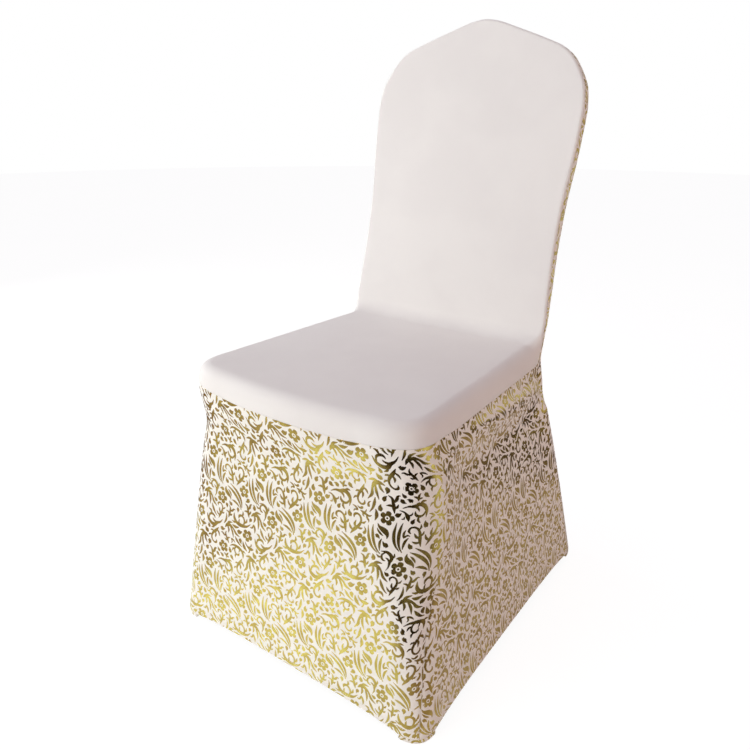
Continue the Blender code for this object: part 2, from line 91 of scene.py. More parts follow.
@dataclass(frozen=True)
class CoverSizes:
    """Sizes of the covered form as in the solids, in metres and radians, and shares."""

    seat_top: float = 0.444
    seat_drop: float = 0.035
    seat_front_y: float = -0.2606
    back_y: float = 0.1324
    seat_front_half: float = 0.2052
    seat_rear_half: float = 0.1836
    seat_front_bow: float = 0.008
    back_lean: float = math.radians(12.13)
    back_depth: float = 0.025
    waist_depth: float = 0.014
    waist_height: float = -0.020
    waist_reach: float = 0.150
    fold_radius: float = 0.028
    seat_corner_front_run: float = 0.085
    seat_corner_side_run: float = 0.063
    seam_lift: float = 0.004
    lift_start: float = 0.09
    lift_reach: float = 0.13
    lift_ease: float = 0.08
    front_blend: float = 0.25
    crown_blend: float = 0.16
    rear_blend: float = 0.35
    foot_run: float = 0.036
    front_foot_x: float = 0.2387
    rear_foot_x: float = 0.2254
    foot_y: float = 0.2801
    seat_edge_radius: float = 0.021
    back_edge_radius: float = 0.004
    back_seam_depth: float = 0.006
    rear_edge_radius: float = 0.008
    waist_edge_radius: float = 0.005
    seat_puff: float = 0.006
    back_puff: float = 0.003
    skirt_nip: float = 0.011
    nip_run: float = 0.17
    nip_fade: float = 1.6
    rear_nip_start: float = 0.08
    waist_nip: float = 0.009
    waist_nip_end: float = 0.22
    rear_leg_bulge: float = 0.004
    ridge_drift: float = 0.024
    ridge_push: float = 0.005
    ridge_end: float = 0.62
    crease_start: float = 0.06
    crease_end: float = 0.1
    hem_arch: float = 0.0045
    hem_sag_in: float = 0.003
    pocket_height: float = 0.008
    pocket_edge: float = 0.003
    cloth: float = 0.0016
    hem_cloth: float = 0.0026
    hem_fold: float = 0.023
    seam_gap: float = 0.0004
    shoulder: float = 0.426
    back_outline: tuple[Pair, ...] = (
        (0.0350, 0.1838), (0.0700, 0.1815), (0.1300, 0.1783), (0.1900, 0.1782), (0.2300, 0.1797),
        (0.2750, 0.1834), (0.3250, 0.1857), (0.3500, 0.1862), (0.3660, 0.1852), (0.3890, 0.1808),
        (0.4100, 0.1702), (0.4310, 0.1552), (0.4445, 0.1385), (0.4535, 0.1180), (0.4645, 0.0888),
        (0.4760, 0.0560), (0.4855, 0.0284), (0.4895, 0.0090), (0.4900, 0.0000))

    @property
    def fold_angle(self) -> float:
        """Turn of the fold between the seat and the back."""
        return math.pi / 2 - self.back_lean

    @property
    def fold_tangent(self) -> float:
        """Distance from the fold's corner to where it starts."""
        return self.fold_radius * math.tan(self.fold_angle / 2)

    @property
    def fold_start(self) -> float:
        """Distance along the panel where the fold starts."""
        return self.back_y - self.fold_tangent

    @property
    def fold_end(self) -> float:
        """Distance along the panel where the fold ends."""
        return self.fold_start + self.fold_radius * self.fold_angle

    @property
    def seam_z(self) -> float:
        """Height of the seam under the seat's edge."""
        return self.seat_top - self.seat_drop

    @property
    def up_back(self) -> Array:
        """Direction up the back."""
        return np.array([0.0, math.sin(self.back_lean), math.cos(self.back_lean)])

    @property
    def behind(self) -> Array:
        """Direction out of the rear of the back."""
        return np.array([0.0, math.cos(self.back_lean), -math.sin(self.back_lean)])


@dataclass(frozen=True)
class MeshCounts:
    """How finely the cloths are drawn: the solids' counts times a factor."""

    factor: int = 4
    columns: int = 80
    corner_steps: int = 8
    seat_rows: int = 40
    fold_rows: int = 24
    back_rows: int = 56
    edge_rows: int = 9
    drop_shares: tuple[float, ...] = (0.25, 0.5, 0.75, 0.9, 0.96, 1.0)
    wall_rows: int = 8
    rear_edge_rows: int = 12
    side_foot_steps: int = 8
    level_factor: int = 5
    leg_stations: float = 5.0
    ridge_stations: float = 4.0
    foot_points: int = 33

    @property
    def waist(self) -> int:
        """Station of the seam loop where the waist is, on the right."""
        return self.columns + self.corner_steps + self.seat_rows + self.fold_rows // 2

    @property
    def levels(self) -> Array:
        """Heights of the skirts' rows.

        Returns:
            Shares of the height, from the seam down to the hem.
        """
        coarse = (0.0, 0.025, 0.06, 0.1, 0.145, 0.19, 0.24, 0.3, 0.36, 0.43,
                  0.5, 0.57, 0.64, 0.71, 0.78, 0.85, 0.91, 0.965, 1.0)
        at = np.arange((len(coarse) - 1) * self.level_factor + 1) / self.level_factor
        fine = np.interp(at, np.arange(len(coarse)), coarse)
        return np.unique(np.round(np.concatenate([fine, [0.0025, 0.995, 0.998]]), 5))


@dataclass(frozen=True)
class Crease:
    """A soft ridge or trough of a skirt, from a start to an end place.

    Places are the distance round the seam from the front's middle and the distance below it."""

    start: Pair
    end: Pair
    half_width: float
    height: float

    def height_at(self, around: Array, below: Array) -> Array:
        """Height of the crease at places of the skirts.

        Args:
            around: Distances round the seam.
            below: Distances below the seam.

        Returns:
            The crease's heights there.
        """
        way = np.array(self.end) - np.array(self.start)
        du, dv = around - self.start[0], below - self.start[1]
        run = np.clip((du * way[0] + dv * way[1]) / (way @ way), 0.0, 1.0)
        away = np.hypot(du - way[0] * run, dv - way[1] * run) / self.half_width
        return self.height * np.exp(-away ** 2) * np.sin(math.pi * (0.1 + 0.8 * run))


MAIN_CREASES = (
    Crease((0.290, 0.010), (0.330, 0.090), 0.020, -0.0035),
    Crease((0.250, 0.020), (0.262, 0.140), 0.018, 0.0030),
    Crease((0.330, 0.020), (0.600, 0.055), 0.022, 0.0030),
    Crease((-0.245, 0.015), (-0.272, 0.140), 0.020, 0.0030),
    Crease((-0.180, 0.010), (-0.205, 0.090), 0.024, -0.0025),
    Crease((-0.300, 0.020), (-0.350, 0.110), 0.024, -0.0030),
    Crease((-0.360, 0.030), (-0.600, 0.070), 0.024, 0.0025))

FINE_CREASES = (
    Crease((0.196, 0.006), (0.214, 0.085), 0.009, -0.0014),
    Crease((0.214, 0.004), (0.240, 0.070), 0.009, 0.0015),
    Crease((0.232, 0.004), (0.268, 0.058), 0.009, -0.0013),
    Crease((0.252, 0.004), (0.300, 0.048), 0.009, 0.0012),
    Crease((0.180, 0.010), (0.186, 0.100), 0.010, 0.0011),
    Crease((0.330, 0.004), (0.420, 0.030), 0.009, 0.0010),
    Crease((0.440, 0.006), (0.560, 0.028), 0.010, -0.0010),
    Crease((-0.196, 0.006), (-0.216, 0.080), 0.010, 0.0013),
    Crease((-0.215, 0.030), (-0.222, 0.170), 0.011, -0.0013),
    Crease((-0.228, 0.120), (-0.224, 0.300), 0.012, 0.0014),
    Crease((0.224, 0.130), (0.232, 0.330), 0.013, -0.0014),
    Crease((0.120, 0.060), (0.190, 0.300), 0.016, 0.0010),
    Crease((-0.060, 0.020), (-0.140, 0.200), 0.018, 0.0010),
    Crease((0.300, 0.240), (0.480, 0.390), 0.018, 0.0011),
    Crease((0.030, 0.300), (0.160, 0.388), 0.016, 0.0010))


# Curves


def smooth(value: Array | float) -> Array | float:
    """Ease a value from 0 to 1 with flat ends."""
    x = np.clip(value, 0.0, 1.0)
    return x * x * (3.0 - 2.0 * x)


def spline(points: Sequence[Sequence[float]], steps: int = 8) -> Array:
    """Run a smooth curve through a list of points.

    Args:
        points: Points of any number of coordinates.
        steps: Steps between neighbouring points.

    Returns:
        Points of the curve, both ends included.
    """
    pts = np.asarray(points, float)
    ends = np.concatenate([[2 * pts[0] - pts[1]], pts, [2 * pts[-1] - pts[-2]]])
    t = (np.arange(steps) / steps)[:, None]
    out = []
    for k in range(len(pts) - 1):
        a, b, c, d = ends[k:k + 4]
        out.append(0.5 * (2 * b + (c - a) * t + (2 * a - 5 * b + 4 * c - d) * t ** 2
                          + (3 * b - a - 3 * c + d) * t ** 3))
    return np.concatenate([*out, pts[-1:]])


def run_of(curve: Array) -> Array:
    """Distance along a polyline at each of its points."""
    return np.concatenate([[0.0], np.cumsum(np.linalg.norm(np.diff(curve, axis=0), axis=1))])


def even(curve: Array, count: int) -> Array:
    """Evenly spaced points of a polyline, ends included.

    Args:
        curve: The polyline.
        count: Number of steps.

    Returns:
        One point more than there are steps.
    """
    run = run_of(curve)
    at = np.linspace(0.0, run[-1], count + 1)
    return np.stack([np.interp(at, run, curve[:, k]) for k in range(curve.shape[1])], 1)


def corner(start: Array, control: Array, end: Array, shares: Array) -> Array:
    """Points of a rounded corner drawn from start to end inside its control point."""
    t = shares[:, None]
    return (1 - t) ** 2 * start + 2 * t * (1 - t) * control + t * t * end


def mirrored(points: Array) -> Array:
    """Mirror the right half of an outline.

    Args:
        points: Points of the right half.

    Returns:
        Points of the left half, in order.
    """
    left = points[::-1].copy()
    left[:, 0] *= -1.0
    return left


def outward(loop: Array) -> Array:
    """Outward directions of a closed loop.

    Args:
        loop: Its points seen from above, counter-clockwise.

    Returns:
        A unit direction for each point.
    """
    step = np.roll(loop, -1, axis=0) - np.roll(loop, 1, axis=0)
    out = np.stack([step[:, 1], -step[:, 0]], 1)
    return out / np.linalg.norm(out, axis=1)[:, None]


def row_run(rows: Array) -> Array:
    """Distance along each row of a grid of points."""
    step = np.linalg.norm(np.diff(rows, axis=1), axis=2)
    return np.concatenate([np.zeros((len(rows), 1)), np.cumsum(step, axis=1)], axis=1)


# Cloth meshes


@dataclass
class Patch:
    """A grid of a cloth's outer points and their places on the flat cut."""

    points: Array
    cut: Array
    rows_first: bool = False


class Cloth:
    """Outer surface of one cloth, gathered from grids, and its flat cut."""

    def __init__(self, name: str) -> None:
        """Start an empty cloth.

        Args:
            name: Name of the node it stands for.
        """
        self.name = name
        self.points: list[Array] = []
        self.cut: list[Array] = []
        self.index: dict[tuple[float, ...], int] = {}
        self.faces: list[list[int]] = []
        self.outer = np.zeros((0, 3))
        self.normals = np.zeros((0, 3))

    def place(self, point: Array, cut: Array) -> int:
        """Index of a point, shared with an equal one.

        Args:
            point: The point, in metres.
            cut: Its place on the flat cut.

        Returns:
            The point's index in the cloth.
        """
        key = tuple(np.round(point, 6) + 0.0)
        if key not in self.index:
            self.index[key] = len(self.points)
            self.points.append(np.array(point, float))
            self.cut.append(np.array(cut, float))
        return self.index[key]

    def add(self, patch: Patch) -> None:
        """Add a grid.

        Args:
            patch: The grid. Its outer side faces the cross product of column and row steps, or
                of row and column steps when rows_first is set.
        """
        ids = [[self.place(p, c) for p, c in zip(row, cut)]
               for row, cut in zip(patch.points, patch.cut)]
        for above, below in zip(ids[:-1], ids[1:]):
            for i in range(len(above) - 1):
                quad = [above[i], above[i + 1], below[i + 1], below[i]]
                if patch.rows_first:
                    quad.reverse()
                face = list(dict.fromkeys(quad))
                if len(face) > 2:
                    self.faces.append(face)

    def face_normals(self) -> list[Array]:
        """Normals of the faces.

        Returns:
            A normal for each face, as long as the face's area.
        """
        pts = np.array(self.points)
        return [np.cross(pts[f[2]] - pts[f[0]], pts[f[-1]] - pts[f[1]]) * 0.5 for f in self.faces]

    def rim(self) -> list[tuple[int, int]]:
        """Directed edges that belong to one face only."""
        edges = {(a, b) for f in self.faces for a, b in zip(f, f[1:] + f[:1])}
        return [edge for edge in sorted(edges) if edge[::-1] not in edges]


def share_normals(cloths: Iterable[Cloth], sizes: CoverSizes) -> None:
    """Give cloths point normals averaged over every cloth that meets at the point.

    Args:
        cloths: The cloths, which get their normals.
        sizes: Sizes, for the height of the hems.
    """
    cloths = list(cloths)
    total: dict[tuple[float, ...], Array] = {}
    for cloth in cloths:
        keys = list(cloth.index)
        for face, normal in zip(cloth.faces, cloth.face_normals()):
            for vertex in face:
                total[keys[vertex]] = total.get(keys[vertex], 0.0) + normal
    high = sizes.pocket_height + sizes.hem_arch + sizes.seam_gap
    for key, value in total.items():
        if sizes.pocket_edge < key[2] < high:
            value[2] = 0.0
    for cloth in cloths:
        rows = np.array([total[key] for key in cloth.index])
        cloth.normals = rows / np.linalg.norm(rows, axis=1)[:, None]


@dataclass(frozen=True)
class Tailor:
    """Turns outer surfaces into closed cloths with thickness, gaps and soft seam grooves."""

    sizes: CoverSizes
    groove: float = 0.00045
    groove_reach: float = 0.0016

    def thickness(self, height: float, hemmed: bool) -> float:
        """Thickness at a height above the floor.

        Args:
            height: Height above the floor.
            hemmed: Whether the cloth is doubled along its hem.

        Returns:
            The cloth's thickness there.
        """
        doubled = hemmed and height < self.sizes.hem_fold
        return self.sizes.hem_cloth if doubled else self.sizes.cloth

    def sew(self, cloth: Cloth, hemmed: bool) -> Object:
        """Make the closed mesh of a cloth.

        Args:
            cloth: The cloth with its outer surface and normals.
            hemmed: Whether the cloth is doubled along its hem.

        Returns:
            The new object.
        """
        outer = np.array(cloth.points)
        normal = cloth.normals
        rim = cloth.rim()
        inward: dict[int, list[Array]] = {}
        for a, b in rim:
            edge = outer[b] - outer[a]
            edge /= np.linalg.norm(edge)
            for vertex in (a, b):
                turn = np.cross(normal[vertex], edge)
                inward.setdefault(vertex, []).append(turn / np.linalg.norm(turn))
        tree = KDTree(len(inward))
        for vertex in inward:
            tree.insert(outer[vertex], vertex)
        tree.balance()
        away = np.array([tree.find(point)[2] for point in outer])
        dip = self.groove * np.exp(-(away / self.groove_reach) ** 2)
        shift = np.zeros_like(outer)
        for vertex, ways in inward.items():
            one, two = ways[0], ways[-1]
            shift[vertex] = 0.5 * self.sizes.seam_gap * (one + two) / (1.0 + one @ two)
        depth = np.array([self.thickness(point[2], hemmed) for point in outer + shift])
        inner = outer + shift - normal * depth[:, None]
        outer = outer + shift - normal * dip[:, None]
        cloth.outer = outer
        count = len(outer)
        faces = [list(face) for face in cloth.faces]
        faces += [[v + count for v in reversed(face)] for face in cloth.faces]
        faces += [[b, a, a + count, b + count] for a, b in rim]
        crisp = {tuple(sorted((a + k, b + k))) for a, b in rim for k in (0, count)}
        return closed_mesh(cloth.name, np.concatenate([outer, inner]), faces, crisp,
                           np.concatenate([cloth.cut, cloth.cut]))


def closed_mesh(name: str, points: Array, faces: list[list[int]],
                crisp: set[tuple[int, int]], cut: Array) -> Object:
    """Make a smooth-shaded mesh object.

    Args:
        name: Name of the object.
        points: Its points, in metres.
        faces: Its faces.
        crisp: Edges that stay sharp, as sorted pairs.
        cut: Place of each point on the flat cut, kept as the attribute cut.

    Returns:
        The new object, linked to the scene.
    """
    mesh = bpy.data.meshes.new(name)
    mesh.from_pydata(points.tolist(), [], faces)
    mesh.polygons.foreach_set("use_smooth", np.ones(len(faces), bool))
    if crisp:
        ends = np.empty(len(mesh.edges) * 2, np.int32)
        mesh.edges.foreach_get("vertices", ends)
        pairs = np.sort(ends.reshape(-1, 2), axis=1)
        mesh.edges.foreach_set("use_edge_sharp", [tuple(p) in crisp for p in pairs.tolist()])
    attribute = mesh.attributes.new("cut", "FLOAT_VECTOR", "POINT")
    flat = np.zeros((len(points), 3), np.float32)
    flat[:, :2] = cut
    attribute.data.foreach_set("vector", flat.ravel())
    mesh.update()
    thing = bpy.data.objects.new(name, mesh)
    bpy.context.scene.collection.objects.link(thing)
    return thing


# The covered form


class CoverForm:
    """The shape that the cover is stretched over, as grids of outer points."""

    def __init__(self, sizes: CoverSizes, counts: MeshCounts) -> None:
        """Draw the outline of the plain panel.

        Args:
            sizes: Sizes of the form.
            counts: How finely it is drawn.
        """
        self.sizes = sizes
        self.counts = counts
        self.loop, self.rows = self.outline_loop()
        self.normals = outward(self.loop)

    def outline_right(self) -> tuple[Array, Array, Array]:
        """Stations of the right half of the plain panel in its unrolled plane.

        Returns:
            Front, side and crown stations: (half-width, distance) pairs.
        """
        z, n = self.sizes, self.counts
        tip = np.array([z.seat_front_half, z.seat_front_y])
        rear = np.array([z.seat_rear_half, z.fold_start])
        lean_in = (rear - tip) / np.linalg.norm(rear - tip)
        begin = tip - np.array([z.seat_corner_front_run, 0.0])
        finish = tip + lean_in * z.seat_corner_side_run
        centre = np.array([0.0, z.seat_front_y - z.seat_front_bow])
        reach = np.linspace(0.0, 1.0, n.columns // 2 - n.corner_steps + 1)
        straight = centre + (begin - centre) * reach[:, None]
        straight[:, 1] = z.seat_front_y - z.seat_front_bow * (1.0 - reach ** 2)
        turn = corner(begin, tip, finish, np.linspace(0.0, 1.0, 2 * n.corner_steps + 1))
        front = np.concatenate([straight, turn[1:n.corner_steps + 1]])
        seat = finish + (rear - finish) * np.linspace(0.0, 1.0, n.seat_rows + 1)[:, None]
        table = np.array(z.back_outline)
        up = z.fold_end + table[:, 0] - z.fold_tangent
        back = spline(np.concatenate([[[z.seat_rear_half, z.fold_end]],
                                      np.stack([table[:, 1], up], 1)]))
        shoulder = z.fold_end + z.shoulder - z.fold_tangent
        split = int(np.argmin(np.abs(back[:, 1] - shoulder)))
        fold = np.stack([np.full(n.fold_rows + 1, z.seat_rear_half),
                         np.linspace(z.fold_start, z.fold_end, n.fold_rows + 1)], 1)
        rise = even(back[:split + 1], n.back_rows)
        crown = even(back[split:], n.columns // 2)
        side = np.concatenate([turn[n.corner_steps:], seat[1:], fold[1:], rise[1:]])
        return front, side, crown

    def outline_loop(self) -> tuple[Array, int]:
        """Closed outline of the plain panel, counter-clockwise from its front-left corner.

        Returns:
            The loop and the number of rows along a side.
        """
        front, side, crown = self.outline_right()
        front_row = np.concatenate([mirrored(front)[:-1], front])
        crown_row = np.concatenate([crown[:-1], mirrored(crown)])
        left = mirrored(side)
        loop = np.concatenate([front_row[:-1], side[:-1], crown_row[:-1], left[:-1]])
        return loop, len(side) - 1

    def lay(self, x: float, s: float) -> tuple[Array, Array]:
        """Lay a point of the unrolled plane on the seat, the fold or the back.

        Args:
            x: Distance from the middle.
            s: Distance along the panel.

        Returns:
            The point and its outward normal.
        """
        z = self.sizes
        turn = min(max(0.0, (s - z.fold_start) / z.fold_radius), z.fold_angle)
        point = np.array([x, min(s, z.fold_start) + z.fold_radius * math.sin(turn),
                          z.seat_top + z.fold_radius * (1 - math.cos(turn))])
        point += z.up_back * max(0.0, s - z.fold_end)
        return point, np.array([0.0, -math.sin(turn), math.cos(turn)])

    def seam_point(self, x: float, s: float) -> Array:
        """Point of the seam between plain and printed cloth under a station.

        Args:
            x: Distance of the station from the middle.
            s: Distance of the station along the panel.

        Returns:
            The seam's point.
        """
        z = self.sizes
        if s <= z.fold_start:
            share = (smooth((abs(x) - z.lift_start) / z.lift_ease)
                     * smooth((z.seat_front_y + z.lift_reach - s) / z.lift_ease))
            return np.array([x, s, z.seam_z + z.seam_lift * share])
        if s >= z.fold_end:
            return self.lay(x, s)[0] + z.behind * z.back_seam_depth
        start = np.array([x, z.fold_start, z.seam_z])
        bend = z.back_y - z.seat_drop * math.tan(z.back_lean)
        middle = np.array([x, bend + z.back_seam_depth / math.cos(z.back_lean), z.seam_z])
        end = self.lay(x, z.fold_end)[0] + z.behind * z.back_seam_depth
        t = (s - z.fold_start) / (z.fold_end - z.fold_start)
        return (1 - t) ** 3 * start + 3 * t * (1 - t) * middle + t ** 3 * end

    def plain_surface(self) -> tuple[Array, Array, Array, Array]:
        """Interior grid and border rows of the plain panel.

        Returns:
            The grid, its flat cut, the border rows with the seam as the last, and their cut.
        """
        z, n = self.sizes, self.counts
        ease = smooth((self.loop[:, 1] - z.fold_start) / (z.fold_end - z.fold_start))
        inset = z.seat_edge_radius + (z.back_edge_radius - z.seat_edge_radius) * ease
        edge = self.loop - self.normals * inset[:, None]
        wide, rows = n.columns, self.rows
        front_edge = edge[:wide + 1]
        side_edge = edge[wide:wide + rows + 1]
        crown_edge = edge[wide + rows:2 * wide + rows + 1][::-1]
        weight = np.linspace(-1.0, 1.0, wide + 1)
        first, last = side_edge[0], side_edge[-1]
        grid = np.zeros((rows + 1, wide + 1, 3))
        cut = np.zeros((rows + 1, wide + 1, 2))
        for j, (x, s) in enumerate(side_edge):
            near = max(0.0, 1.0 - (s - first[1]) / z.front_blend) ** 1.5
            far = smooth((s - z.fold_end - z.crown_blend) / (last[1] - z.fold_end - z.crown_blend))
            base = np.stack([x * weight, np.full(wide + 1, s)], 1)
            base += near * (front_edge - np.stack([first[0] * weight,
                                                   np.full(wide + 1, first[1])], 1))
            base += far * (crown_edge - np.stack([last[0] * weight,
                                                  np.full(wide + 1, last[1])], 1))
            cut[j] = base
            for i in range(wide + 1):
                point, normal = self.lay(*base[i])
                seat_run = np.clip((base[i, 1] - z.seat_front_y)
                                   / (z.fold_start - z.seat_front_y), 0.0, 1.0)
                back_run = np.clip((base[i, 1] - z.fold_end) / (last[1] - z.fold_end), 0.0, 1.0)
                puff = (z.seat_puff * math.sin(math.pi * seat_run)
                        + z.back_puff * math.sin(math.pi * back_run))
                puff *= (1.0 - weight[i] ** 2) * (1.0 - near ** 4) * (1.0 - far ** 4)
                grid[j, i] = point + normal * puff
        border = [np.array([self.lay(*e)[0] for e in edge])]
        for k in range(1, n.edge_rows + 1):
            turn = 0.5 * math.pi * k / n.edge_rows
            ring = []
            for o, way, r in zip(self.loop, self.normals, inset):
                point, normal = self.lay(*(o - way * r * (1.0 - math.sin(turn))))
                ring.append(point - normal * r * (1.0 - math.cos(turn)))
            border.append(np.array(ring))
        seam = np.array([self.seam_point(*o) for o in self.loop])
        side = border[-1]
        border += [side + (seam - side) * share for share in n.drop_shares]
        run = np.cumsum([np.zeros(len(seam))] + [np.linalg.norm(b - a, axis=1) for a, b in
                                                 zip(border[:-1], border[1:])], axis=0)
        border_cut = edge[None] + self.normals[None] * run[:, :, None]
        return grid, cut, np.array(border), border_cut

    def rear_border(self, flat: Array, way: Array, seam: Array) -> Array:
        """Points from the seam round the side of the back to its rear face.

        Args:
            flat: Station of the outline.
            way: Outward direction of the outline there.
            seam: The seam's point.

        Returns:
            The points in order.
        """
        z, n = self.sizes, self.counts
        x, s = flat
        t = s - z.fold_end + z.fold_tangent
        origin = np.array([0.0, z.back_y, z.seat_top])
        ease = smooth((t - z.waist_height) / z.waist_reach)
        deep = z.waist_depth + (z.back_depth - z.waist_depth) * ease
        radius = z.waist_edge_radius + (z.rear_edge_radius - z.waist_edge_radius) * ease

        def at(inset: float, depth: float) -> Array:
            """Point at an inset from the outline and a depth behind the front."""
            return (origin + np.array([x - way[0] * inset, 0.0, 0.0])
                    + z.up_back * (t - way[1] * inset) + z.behind * depth)

        wall = at(0.0, deep - radius)
        points = [seam + (wall - seam) * k / n.wall_rows for k in range(n.wall_rows + 1)]
        for k in range(1, n.rear_edge_rows + 1):
            turn = 0.5 * math.pi * k / n.rear_edge_rows
            points.append(at(radius * (1 - math.cos(turn)), deep - radius * (1 - math.sin(turn))))
        return np.array(points)

    def back_surface(self, seam: Array) -> tuple[Array, Array, Array, Array]:
        """Border and rear grid of the panel behind the back, as far down as the waist.

        Args:
            seam: The seam loop.

        Returns:
            The border (stations by steps), its flat cut, the rear grid and its flat cut.
        """
        z, n = self.sizes, self.counts
        begin = n.waist
        start = self.loop[begin][1]
        path, ways = [], []
        for k in range(begin, len(self.loop) - (begin - n.columns) + 1):
            flat = self.loop[k].copy()
            way = self.normals[k]
            if flat[1] < z.fold_end:
                share = (flat[1] - start) / (z.fold_end - start)
                flat[1] = z.fold_end + (z.waist_height - z.fold_tangent) * (1.0 - share)
                way = np.array([math.copysign(1.0, flat[0]), 0.0])
            path.append(self.rear_border(flat, way, seam[k]))
            ways.append(way)
        path = np.array(path)
        edge = path[:, -1]
        last = self.rows - (begin - n.columns)
        right, left = edge[:last + 1], edge[::-1][:last + 1]
        crown = edge[last:last + n.columns + 1][::-1]
        w = np.linspace(0.0, 1.0, n.columns + 1)[:, None]
        grid = np.zeros((last + 1, n.columns + 1, 3))
        for j in range(last + 1):
            far = smooth((j / last - z.rear_blend) / (1.0 - z.rear_blend))
            top = left[last] * (1 - w) + right[last] * w
            base = left[j] * (1 - w) + right[j] * w + far * (crown - top)
            puff = z.back_puff * math.sin(math.pi * j / last) * (1 - far ** 4)
            grid[j] = base + z.behind * puff * 4 * w * (1 - w)
        waist_point = grid[0, 0]
        up = z.up_back
        grid_cut = np.stack([-grid[:, :, 0], -((grid - waist_point) @ up)], 2)
        edge_cut = np.stack([-edge[:, 0], -((edge - waist_point) @ up)], 1)
        reach = row_run(path[:, ::-1])[:, ::-1]
        out = -np.array(ways)
        path_cut = edge_cut[:, None] + out[:, None] * reach[:, :, None]
        return path, path_cut, grid, grid_cut

    def nip(self, down: float, start: float) -> float:
        """Share of the nip under the seat at a height.

        Args:
            down: Height as a share, from the seam down to the hem.
            start: Where the nip starts.

        Returns:
            A share from 0 to 1.
        """
        full = start + self.sizes.nip_run
        if down < full:
            return float(smooth((down - start) / self.sizes.nip_run))
        return (1.0 - (down - full) / (1.0 - full)) ** self.sizes.nip_fade

    def foot_half(self, x: float, y: float, first: bool) -> Array:
        """Half of the rounding round a foot.

        Args:
            x: Place of the foot's tip across.
            y: Place of the foot's tip from front to rear.
            first: Whether the first half is wanted, counter-clockwise.

        Returns:
            Points of the half in order.
        """
        tip = np.array([x, y])
        along_x = np.array([math.copysign(self.sizes.foot_run, x), 0.0])
        along_y = np.array([0.0, math.copysign(self.sizes.foot_run, y)])
        ends = (tip - along_x, tip - along_y)
        if x * y > 0:
            ends = ends[::-1]
        span = (0.0, 0.5) if first else (0.5, 1.0)
        return corner(ends[0], tip, ends[1], np.linspace(*span, self.counts.foot_points))

    def hem_ring(self) -> Array:
        """Lower edge of the skirts.

        Returns:
            Stations counter-clockwise from the front-left seam.
        """
        z, n = self.sizes, self.counts
        turn = 2 * n.corner_steps
        wall = n.wall_rows + n.rear_edge_rows
        side = n.seat_rows + n.fold_rows // 2 - 2 * n.side_foot_steps
        fx, rx, y = z.front_foot_x, z.rear_foot_x, z.foot_y
        ring: list[Array] = []
        rise: list[float] = []

        def foot(x: float, at_y: float, first: bool, steps: int) -> None:
            """Add half of a foot's rounding, less its last point."""
            ring.extend(even(self.foot_half(x, at_y, first), steps)[:-1])
            rise.extend([0.0] * steps)

        def straight(start: Pair, end: Pair, steps: int, inward: Pair) -> None:
            """Add a stretch of hem between two feet.

            Args:
                start: Where it starts.
                end: Where it ends.
                steps: Number of stations.
                inward: Way that its middle sags.
            """
            reach = np.arange(steps) / steps
            arch = 1.0 - np.abs(2 * reach - 1) ** 4
            line = (np.array(start) + (np.array(end) - np.array(start)) * reach[:, None]
                    + np.array(inward) * arch[:, None] * z.hem_sag_in)
            ring.extend(line)
            rise.extend(arch * z.hem_arch)

        run = z.foot_run
        foot(-fx, -y, False, turn)
        straight((-fx + run, -y), (fx - run, -y), n.columns - turn, (0.0, 1.0))
        foot(fx, -y, True, turn)
        foot(fx, -y, False, n.side_foot_steps)
        straight((fx, -y + run), (rx, y - run), side, (-1.0, 0.0))
        foot(rx, y, True, n.side_foot_steps)
        foot(rx, y, False, wall)
        straight((rx - run, y), (-rx + run, y), n.columns, (0.0, -1.0))
        foot(-rx, y, True, wall)
        foot(-rx, y, False, n.side_foot_steps)
        straight((-rx, y - run), (-fx, -y + run), side, (1.0, 0.0))
        foot(-fx, -y, True, n.side_foot_steps)
        return np.column_stack([np.array(ring), z.pocket_height + np.array(rise)])

    def skirt_rows(self, top: Array, creases: Sequence[Crease]) -> Array:
        """Rows of the skirts from the seam ring down to the hem ring.

        Args:
            top: Ring of the seam under the seat and round the waist.
            creases: Soft ridges and troughs.

        Returns:
            The rows, each a closed ring of points.
        """
        z, n = self.sizes, self.counts
        base = self.hem_ring()
        run = run_of(np.concatenate([top, top[:1]]))
        front = 2 * n.corner_steps + n.columns
        around = run[:-1] - 0.5 * run[front]
        around = np.where(around > 0.5 * run[-1], around - run[-1], around)
        side = n.seat_rows + n.fold_rows // 2
        legs = (front + side, front + side + 2 * (n.wall_rows + n.rear_edge_rows) + n.columns)
        station = np.arange(len(top))
        from_leg = np.minimum(abs(station - legs[0]), abs(station - legs[1]))
        near_leg = np.clip(1.0 - from_leg / (n.leg_stations * n.factor), 0.0, 1.0)
        near_ridge = np.clip(1.0 - abs(station - front) / (n.ridge_stations * n.factor), 0.0, 1.0)
        back_run = np.clip((top[:, 1] - z.seat_front_y) / (z.back_y - z.seat_front_y), 0.0, 1.0)
        rows = []
        for down in n.levels:
            row = top + (base - top) * down
            out = np.column_stack([outward(row[:, :2]), np.zeros(len(row))])
            waist = z.waist_nip * math.sin(math.pi * min(1.0, down / z.waist_nip_end))
            drift = math.sin(math.pi * min(1.0, down / z.ridge_end)) ** 1.5
            dented = np.array([self.nip(down, z.rear_nip_start * b) for b in back_run])
            push = -z.skirt_nip * dented * (1.0 - near_leg) * (1.0 - near_ridge)
            push += (z.rear_leg_bulge * math.sin(math.pi * down) - waist) * near_leg
            below = np.full(len(row), z.seam_z * down)
            folds = sum(crease.height_at(around, below) for crease in creases)
            push += folds * smooth(down / z.crease_start) * smooth((1.0 - down) / z.crease_end)
            row = row + out * push[:, None]
            row += np.array([z.ridge_push, z.ridge_drift, 0.0]) * drift * near_ridge[:, None]
            rows.append(row)
        return np.array(rows)


# Finishes


